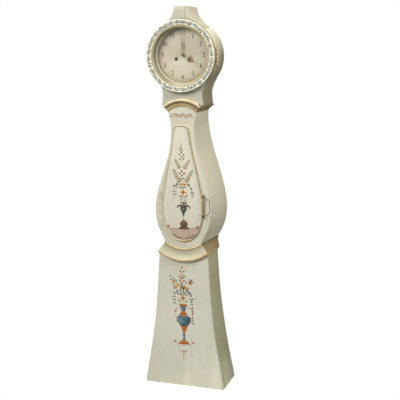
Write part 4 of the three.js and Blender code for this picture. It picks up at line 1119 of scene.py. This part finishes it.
def return_bands(spot, normal):
    """The same beads on the side returns, told by their share of its height. The returns' hollow and top bead
    take darker copies of paint and gilding, as painted shade.
    """
    foot_bead, top_bead = 0.2, 0.86
    low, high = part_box("collar_right")
    share = (spot.z - low.z) / (high.z - low.z)
    if share < foot_bead:
        return "old_gold"
    return "dark_gold" if share > top_bead else None


def throat_bands(spot, normal):
    """A pale bead along the top of the rising moulding, and painted shade in the hollow under it."""
    hollow, top_bead = 0.141, 0.153
    reach = math.hypot(spot.x, spot.z - THROAT_ARC)
    if reach > top_bead:
        return "pale_gold"
    return "dark_gold" if reach > hollow else None


def build_mouldings():
    refined("collar_front", "moulding_paint", 0.7, collar_bands)
    # Painted shade: the side returns take darker copies of the paint and gilding.
    for side in ("left", "right"):
        refined(f"collar_{side}", "return_shade_paint", 0.7, return_bands)
        refined(f"throat_{side}", "dark_gold", 0.7)
    refined("throat_front", "old_gold", 0.6, throat_bands)


def build_waist():
    refined("waist_front_frame", "case_paint", 1.2)
    art = Brushwork("scroll_art", "case", "painted_wood", flat_at(FRONT))
    paint_scroll(art, 1527)
    for points in ([(12, 836), (10, 812), (9, 788)], [(-42, 1003), (-41, 960)],
                   [(137, 930), (139, 1010), (136, 1080)]):
        art.stroke("crack", points, [0.3, 0.8, 0.3])
    art.finish()
    # Painted shade: the side boards take a more olive copy of the front paint.
    for side in ("left", "right"):
        refined(f"waist_side_{side}", "side_shade_paint", 1.0)
    refined("back_board", "pine", 1.0)
    refined("seat_board", "pine", 0.8)


def build_waist_door():
    lip_thick, lip_wide, bead_in, paint_in = 0.005, 0.0105, 0.0036, 0.0075
    outline = door_outline()
    lip_back = DOOR_FACE + lip_thick
    lip = cut_plate("lip", [outline], DOOR_FACE, lip_back, 1.1, 2)
    add_piece("waist_door_panel", lip, ["door_paint"], "waist_door", ["waist_door"])
    back = cut_plate("back", [inset(outline, lip_wide)], lip_back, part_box("waist_door")[1].y, 0.6)
    add_piece("waist_door_back", back, ["pine"], "waist_door")
    # Painted light: the door's bead and strip are paler towards their left.
    path = [Vector((x, DOOR_FACE - 0.0004, z)) for x, z in inset(outline, bead_in)]
    bead = tube(path, [3.3] * len(path), 14, closed=True)
    add_piece("door_bead_round", bead, ["door_gold"], "waist_door", ["door_bead"])
    build_bail_strip()
    art = Brushwork("door_art", "waist_door", "painted_door", flat_at(DOOR_FACE))
    paint_door_bouquet(art)
    paint_door_urn(art)
    paint_door_ground(art, [(x / MM, z / MM) for x, z in inset(outline, paint_in)])
    for x, z in ((93, 1062), (96, 990)):
        art.dot("crack", x, z, 1.8)
        art.stroke("crack", [(x - 3, z + 4), (x, z), (x + 4, z - 3)], [0.4, 1, 0.4])
    art.finish()
    build_bail()
    for place in ("lower", "upper"):
        refined(f"door_hinge_{place}", "case_paint", 0.3)
        refined(f"door_hinge_leaf_{place}", "case_paint", 0.3)


def build_bail_strip():
    """The gilded strip behind the posts of the handle, with its right corners cut off."""
    post = centre_of("bail_post_lower")
    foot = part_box("bail_post_lower")[0].z - 0.010
    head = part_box("bail_post_upper")[1].z + 0.010
    left, bevelled, right, bevel = post.x - 0.0078, post.x + 0.004, post.x + 0.0062, 0.012
    strip = [(left, foot), (bevelled, foot), (right, foot + bevel), (right, head - bevel), (bevelled, head),
             (left, head)]
    plate = cut_plate("strip", [strip], DOOR_FACE - 0.0042, DOOR_FACE - 0.0003, 0.8)
    add_piece("bail_strip", plate, ["door_gold"], "waist_door")


def build_bail():
    """The iron loop with its ends curled over, on two turned posts."""
    low, high = centre_of("bail_post_lower"), centre_of("bail_post_upper")
    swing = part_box("bail_post_lower")[0].y + 0.005
    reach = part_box("door_bail")[1].x - low.x - 0.0016
    half = (high.z - low.z) / 2
    middle = (high.z + low.z) / 2
    side = [(0.000, half + 0.0085), (0.000, half), (0.0005, half - 0.007), (0.007, half - 0.0115),
            (0.015, half - 0.008), (0.023, half - 0.0075), (reach - 0.006, half - 0.0125),
            (reach - 0.001, half - 0.022), (reach, half - 0.034)]
    route = side + [(x, -z) for x, z in side[::-1]]
    path = smooth_path([Vector((low.x + x, swing, middle + z)) for x, z in route], 6)
    count = len(path)
    radii = [1.35 + 0.75 * math.sin(math.pi * i / (count - 1)) ** 2 for i in range(count)]
    add_piece("bail_loop", tube(path, radii, 12), ["rusty_iron"], "door_bail", ["door_bail"])
    foot = (DOOR_FACE - swing) / MM
    profile = [(0.01, -5), (2.6, -4.6), (4.4, -2.4), (4.9, 0), (4.4, 2.4), (3.0, 4.2), (3.0, foot - 5.2),
               (5.4, foot - 4.4), (5.6, foot - 4.15), (3.0, foot - 4.1), (3.0, foot - 0.4),
               (0.01, foot - 0.4)]
    for place, point in (("lower", low), ("upper", high)):
        knob = revolved(profile, Vector((point.x, swing, point.z)), 28)
        add_piece(f"bail_knob_{place}", knob, ["forged_iron"], "waist_door",
                  [f"bail_post_{place}"])


# ---------------------------------------------------------------- hood

def reveal_bands(spot, normal):
    """The round opening's bevelled edge is paler than the board."""
    opening = 0.1505
    reach = math.hypot(spot.x - HOOD.x, spot.z - HOOD.z)
    return "reveal_paint" if reach < opening and abs(normal.y) < 0.9 else None


def crest_bands(spot, normal):
    return None if normal.y < -0.9 else "crest_side"


def build_hood():
    refined("hood_front_board", "hood_paint", 0.8, reveal_bands)
    # Painted shade: the shells take a more olive copy of the paint, darker lower down.
    for side in ("left", "right"):
        refined(f"hood_shell_{side}", "shell_shade_paint", 0.8)
    refined("chimney_block", "crest_paint", 1.0, crest_bands)
    art = Brushwork("crest_art", "hood", "painted_wood", flat_at(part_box("chimney_block")[0].y))
    art.stroke("crack", [(23, 2099), (24, 2078), (23, 2056), (23.5, 2030)], [2.2, 2.6, 2.0, 1.6])
    art.finish()


def paint_scroll(art, height):
    """A running scroll with leaves and buds across the neck of the case."""
    waves = [(x, height - 6.5 * math.cos(math.pi * x / 20)) for x in range(-60, 61, 4)]
    art.stroke("gold_paint", waves, [1.2, 3.8, 2.4, 3.8, 1.2], 4)
    curl = [(-9, -3), (-7, 7), (0, 9), (4, 3), (-1, 1)]
    for k in range(-3, 4):
        x = 20 * k
        way = 1 if k % 2 == 0 else -1
        art.stroke("gold_paint", [(x + dx, height + way * dz) for dx, dz in curl], [2.2, 4.2, 4.4, 3.6, 2.0])
        if abs(k) < 3:
            art.leaf("gold_paint", x + 6, height - way, 85 * way, 13, 4.8)
            art.dot("gold_paint", x + 10, height + way * 10, 2.4)


def ring_face(x, z):
    """Y of the ring's painted front, which stands out a little more towards its edge."""
    reach = math.hypot(x - HOOD.x / MM, z - HOOD.z / MM)
    rows = [(163.0, -28.4), (167, -28.7), (176, -29.3), (184, -30.2), (187.6, -30.45)]
    for (r0, y0), (r1, y1) in zip(rows, rows[1:]):
        if reach <= r1:
            return FRONT + (y0 + (y1 - y0) * max(0, reach - r0) / (r1 - r0)) * MM
    return FRONT + rows[-1][1] * MM


def build_ring_door():
    centre = Vector((HOOD.x, FRONT, HOOD.z))
    flank = [(190.2, -0.6), (190.5, -3.5), (189.6, -6.2), (188.9, -9), (188.9, -20), (189.6, -23),
             (190.5, -24.4)]
    edge = arc((187.6, -27.6), 2.9, 0, -90, 6)
    face = [(184, -30.2), (176, -29.3), (167, -28.7), (163.4, -28.5), (163.0, -27.9)]
    rebate = [(163, -10), (155.6, -10), (155.6, -6.8), (147.3, -6.8), (147.3, -0.6)]
    face_from = len(flank) + 2
    face_to = face_from + 10
    # Painted shade: the flank takes the darker copy of the gilding, and the rebate near-black paint.
    ring = revolved(flank + edge + face + rebate, centre, 192,
                    finish_of=lambda k: 1 if k < face_from else 0 if k < face_to else 2)
    add_piece("ring_door_fine", ring, ["ring_paint", "dark_gold", "rebate_shade_paint"], "ring_door",
              ["ring_door"])
    bead = [(162.6, -10.3), (162.6, -27.8)] + arc((159.4, -27.0), 2.9, 20, 160, 8) + [(155.6, -27.2)]
    slope_from = len(bead)
    bead += [(154.6, -25.2), (152.6, -24.6), (150.6, -22.6), (149.0, -19.6), (148.0, -16.4), (147.4, -14.8),
             (147.4, -10.3)]
    # Painted shade: the inner slope of the bead darkens towards its left.
    beading = revolved(bead, centre, 192, finish_of=lambda k: int(k >= slope_from))
    add_piece("ring_bead_fine", beading, ["bead_gold", "bead_slope"], "ring_door",
              ["ring_bead"])
    refined("door_glass", "old_glass", 0.4)
    art = Brushwork("ring_art", "ring_door", "painted_wood", ring_face)
    paint_ring(art)
    paint_ring_spots(art)
    art.finish()
    build_ring_hinge()


def build_ring_hinge():
    """Five brass knuckles on one pin, with a thin leaf let into each side."""
    low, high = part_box("ring_hinge")
    barrel = (high.y - low.y) / 2 / MM
    pin = Vector((high.x - barrel * MM, (low.y + high.y) / 2, low.z))
    tall = (high.z - low.z) / MM
    for name, body, first, y_from, y_to in (("ring_hinge", "hood", 0, 0.35, 1.7),
                                            ("ring_hinge_leaf", "ring_door", 1, -1.7, -0.35)):
        corners = [(low.x, low.z), (pin.x, low.z), (pin.x, high.z), (low.x, high.z)]
        leaf = cut_plate(name + "_plate", [corners], pin.y + y_from * MM, pin.y + y_to * MM, 0.2)
        add_piece(name + "_plate", leaf, ["hinge_brass"], body, [name])
        for k in range(first, 5, 2):
            foot = k * tall / 5 + 1.6
            head = (k + 1) * tall / 5 - 1.6
            waist = barrel - 1.4
            profile = [(0.01, foot), (waist, foot), (barrel, foot + 2.2), (barrel + 1.2, (foot + head) / 2),
                       (barrel, head - 2.2), (waist, head), (0.01, head)]
            knuckle = revolved(profile, pin, 28, "Z")
            add_piece(f"ring_knuckle_{k + 1}", knuckle, ["hinge_brass"], body)
    rod = [(0.01, -3.6), (1.6, -3.2), (2.4, -1.4), (1.5, 0.4), (1.5, tall - 0.4), (2.4, tall + 1.4),
           (1.6, tall + 3.2), (0.01, tall + 3.6)]
    add_piece("ring_pin", revolved(rod, pin, 20, "Z"), ["weight_iron"], "hood")


# ---------------------------------------------------------------- dial and hands

def build_dial():
    refined("dial_plate", "dial_cream", 0.3)
    art = Brushwork("dial_art", "case", "painted_dial", flat_at(DIAL_FACE))
    paint_numerals(art)
    art.finish()
    # Painted shade: black-lined rims make the winding holes read dark.
    well = centre_of("time_barrel")
    profile = [(8.0, 0.1), (8.2, -0.3), (9.3, -0.3), (9.7, 0.1), (8.28, 0.35), (8.28, 6.0), (7.9, 6.0)]
    for side, way in (("left", -1), ("right", 1)):
        rim = revolved(profile, Vector((way * abs(well.x), DIAL_FACE - 0.0002, well.z)), 48)
        add_piece(f"winding_rim_{side}", rim, ["soot"], "case")


def turned_about(points, turn, pivot):
    """Points of a hand drawn upwards in mm, swung clockwise and set on its arbor, in metres."""
    out = []
    for x, z in points:
        out.append((pivot.x + (x * math.cos(turn) + z * math.sin(turn)) * MM,
                    pivot.z + (z * math.cos(turn) - x * math.sin(turn)) * MM))
    return out


def mirrored(points):
    return points + [(-x, z) for x, z in points[::-1]]


def build_hand(name, turn, outlines, y_front, y_back, edge):
    """A flat hand. The outlines are its edge and its holes, drawn with the hand pointing up."""
    shapes = [turned_about(points, turn, DIAL) for points in outlines]
    mesh = cut_plate(name, shapes, y_front, y_back, edge)
    add_piece(name + "_fine", mesh, ["hand_gilt"], body_of[name], [name])


def build_hands():
    tip = centre_of("minute_hand")
    low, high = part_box("minute_hand")
    blade = mirrored([(6.6, -1.5), (6.2, 3.0), (3.6, 8.0), (2.4, 13.0), (4.4, 20.0), (4.8, 25.0), (2.6, 31.0),
                      (2.0, 36.0), (4.6, 44.0), (4.0, 58.0), (2.0, 78.0), (0.5, 97.5)])
    blade = [(-5.0, -5.0), (0, -6.8), (5.0, -5.0)] + blade
    slit = mirrored([(0.01, 14.5), (1.9, 19), (2.1, 24), (0.8, 29)])
    turn = math.atan2(tip.x - DIAL.x, tip.z - DIAL.z)
    build_hand("minute_hand", turn, [blade, slit], low.y + 0.0002, high.y - 0.0002, 0.35)
    cap = [(0.01, -1.6), (2.6, -1.3), (3.6, -0.4), (4.4, 0.1), (6.0, 0.3), (6.0, 0.8), (0.01, 0.8)]
    boss = revolved(cap, Vector((DIAL.x, low.y, DIAL.z)), 32)
    add_piece("hand_cap", boss, ["hand_gilt"], "minute_work")

    low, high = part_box("hour_hand")
    body = mirrored([(8.8, 1.0), (7.4, 5.0), (4.6, 9.0), (5.0, 13.0), (5.8, 24.0), (5.2, 32.0), (7.6, 36.4),
                     (13.0, 36.0), (17.6, 40.6), (18.2, 47.6), (14.8, 54.2), (8.6, 56.4), (5.0, 60.0),
                     (4.0, 64.0), (2.0, 68.0), (1.6, 76.0), (0.4, 96.5)])
    body = [(-6.4, -6.2), (0, -8.9), (6.4, -6.2)] + body
    slot = mirrored([(0.01, 12.0), (2.9, 14.0), (3.7, 25.0), (2.8, 31.5), (0.01, 33.5)])
    heart = mirrored([(0.01, 37.6), (2.2, 41.2), (2.0, 50.6), (0.01, 56.6)])
    loops = [ring_points(side * 10.0, 46.2, 6.1) for side in (-1, 1)]
    outlines = [body, slot, heart] + loops
    build_hand("hour_hand", math.radians(120), outlines, low.y + 0.0009, high.y - 0.0003, 0.3)


# ---------------------------------------------------------------- movement

def build_movement():
    # Painted shade: the front plate is near-black brass, so it reads dark behind the winding holes.
    refined("front_plate", "shade_dark_brass", 0.3)
    for name in ("back_plate", "back_cock"):
        refined(name, "brass", 0.3)
    for name in ("centre_arbor", "third_wheel", "escape_wheel", "minute_wheel", "hour_wheel",
                 "cannon_pinion", "fly"):
        refined(name, "brass", 0.2)
    plate_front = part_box("front_plate")[0].y
    # Painted shade: the winding squares in front of the plate are black.
    for name in ("time_barrel", "strike_barrel"):
        refined(name, "brass", 0.2, lambda spot, normal: "soot" if spot.y < plate_front else None)
    for name in ("anchor", "bell_stand", "bell_hammer", "pendulum_rod"):
        refined(name, "steel", 0.25)
    build_bell()
    build_bob()
    build_weights()


def build_bell():
    low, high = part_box("bell")
    top = (high.z - low.z) / MM
    outer = [(3.1, top), (8, top - 0.5), (14, top - 2.0), (22, top - 5.6), (28, top - 10.8), (31.6, top - 17),
             (33.6, top - 24), (35.2, top - 29), (36.9, 0.3)]
    inner = [(35.6, 0.0), (34.0, 0.2), (32.6, 4.6), (30.8, 10.4), (28.4, 16.2), (24.5, 22.0), (19, 26.4),
             (13, 29.0), (3.1, 30.2)]
    centre = Vector(((low.x + high.x) / 2, (low.y + high.y) / 2, low.z))
    add_piece("bell_fine", revolved(outer + inner, centre, 96, "Z"), ["brass"], "case", ["bell"])


def build_bob():
    """A lens of sheet brass with a turned rim and rings."""
    low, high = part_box("pendulum_bob")
    radius = (high.x - low.x) / 2 / MM
    half = (high.y - low.y) / 2 / MM
    front = [(2.4, 0.4 - half), (7, -half), (9, 0.5 - half), (22, 1.5 - half), (24, 1.1 - half),
             (26, 1.8 - half), (44, 5.4 - half), (54, 9.0 - half), (radius - 3, -2.9), (radius - 1, -2.6),
             (radius, -1.2)]
    bob = revolved(front + [(r, -y) for r, y in front[::-1]], (low + high) / 2, 128)
    add_piece("pendulum_bob_fine", bob, ["brass"], body_of["pendulum_bob"], ["pendulum_bob"])
    refined("rating_nut", "brass", 0.4)


def build_weights():
    """Each weight, and its line with a fine twist."""
    steps = 240
    for side in ("time", "strike"):
        refined(f"{side}_weight", "weight_iron", 0.8)
        low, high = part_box(f"{side}_line")
        middle = (low + high) / 2
        path = [Vector((middle.x, middle.y, high.z + (low.z - high.z) * i / steps)) for i in range(steps + 1)]
        radii = [0.9 + 0.09 * math.sin(i * 1.9) for i in range(steps + 1)]
        twist = tube(path, radii, 8)
        line = add_piece(f"{side}_line_twist", twist, ["gut"], "case", [f"{side}_line"])
        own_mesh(line)


# ---------------------------------------------------------------- all together

build_studio()
build_base()
build_mouldings()
build_waist()
build_waist_door()
build_hood()
build_ring_door()
build_dial()
build_hands()
build_movement()
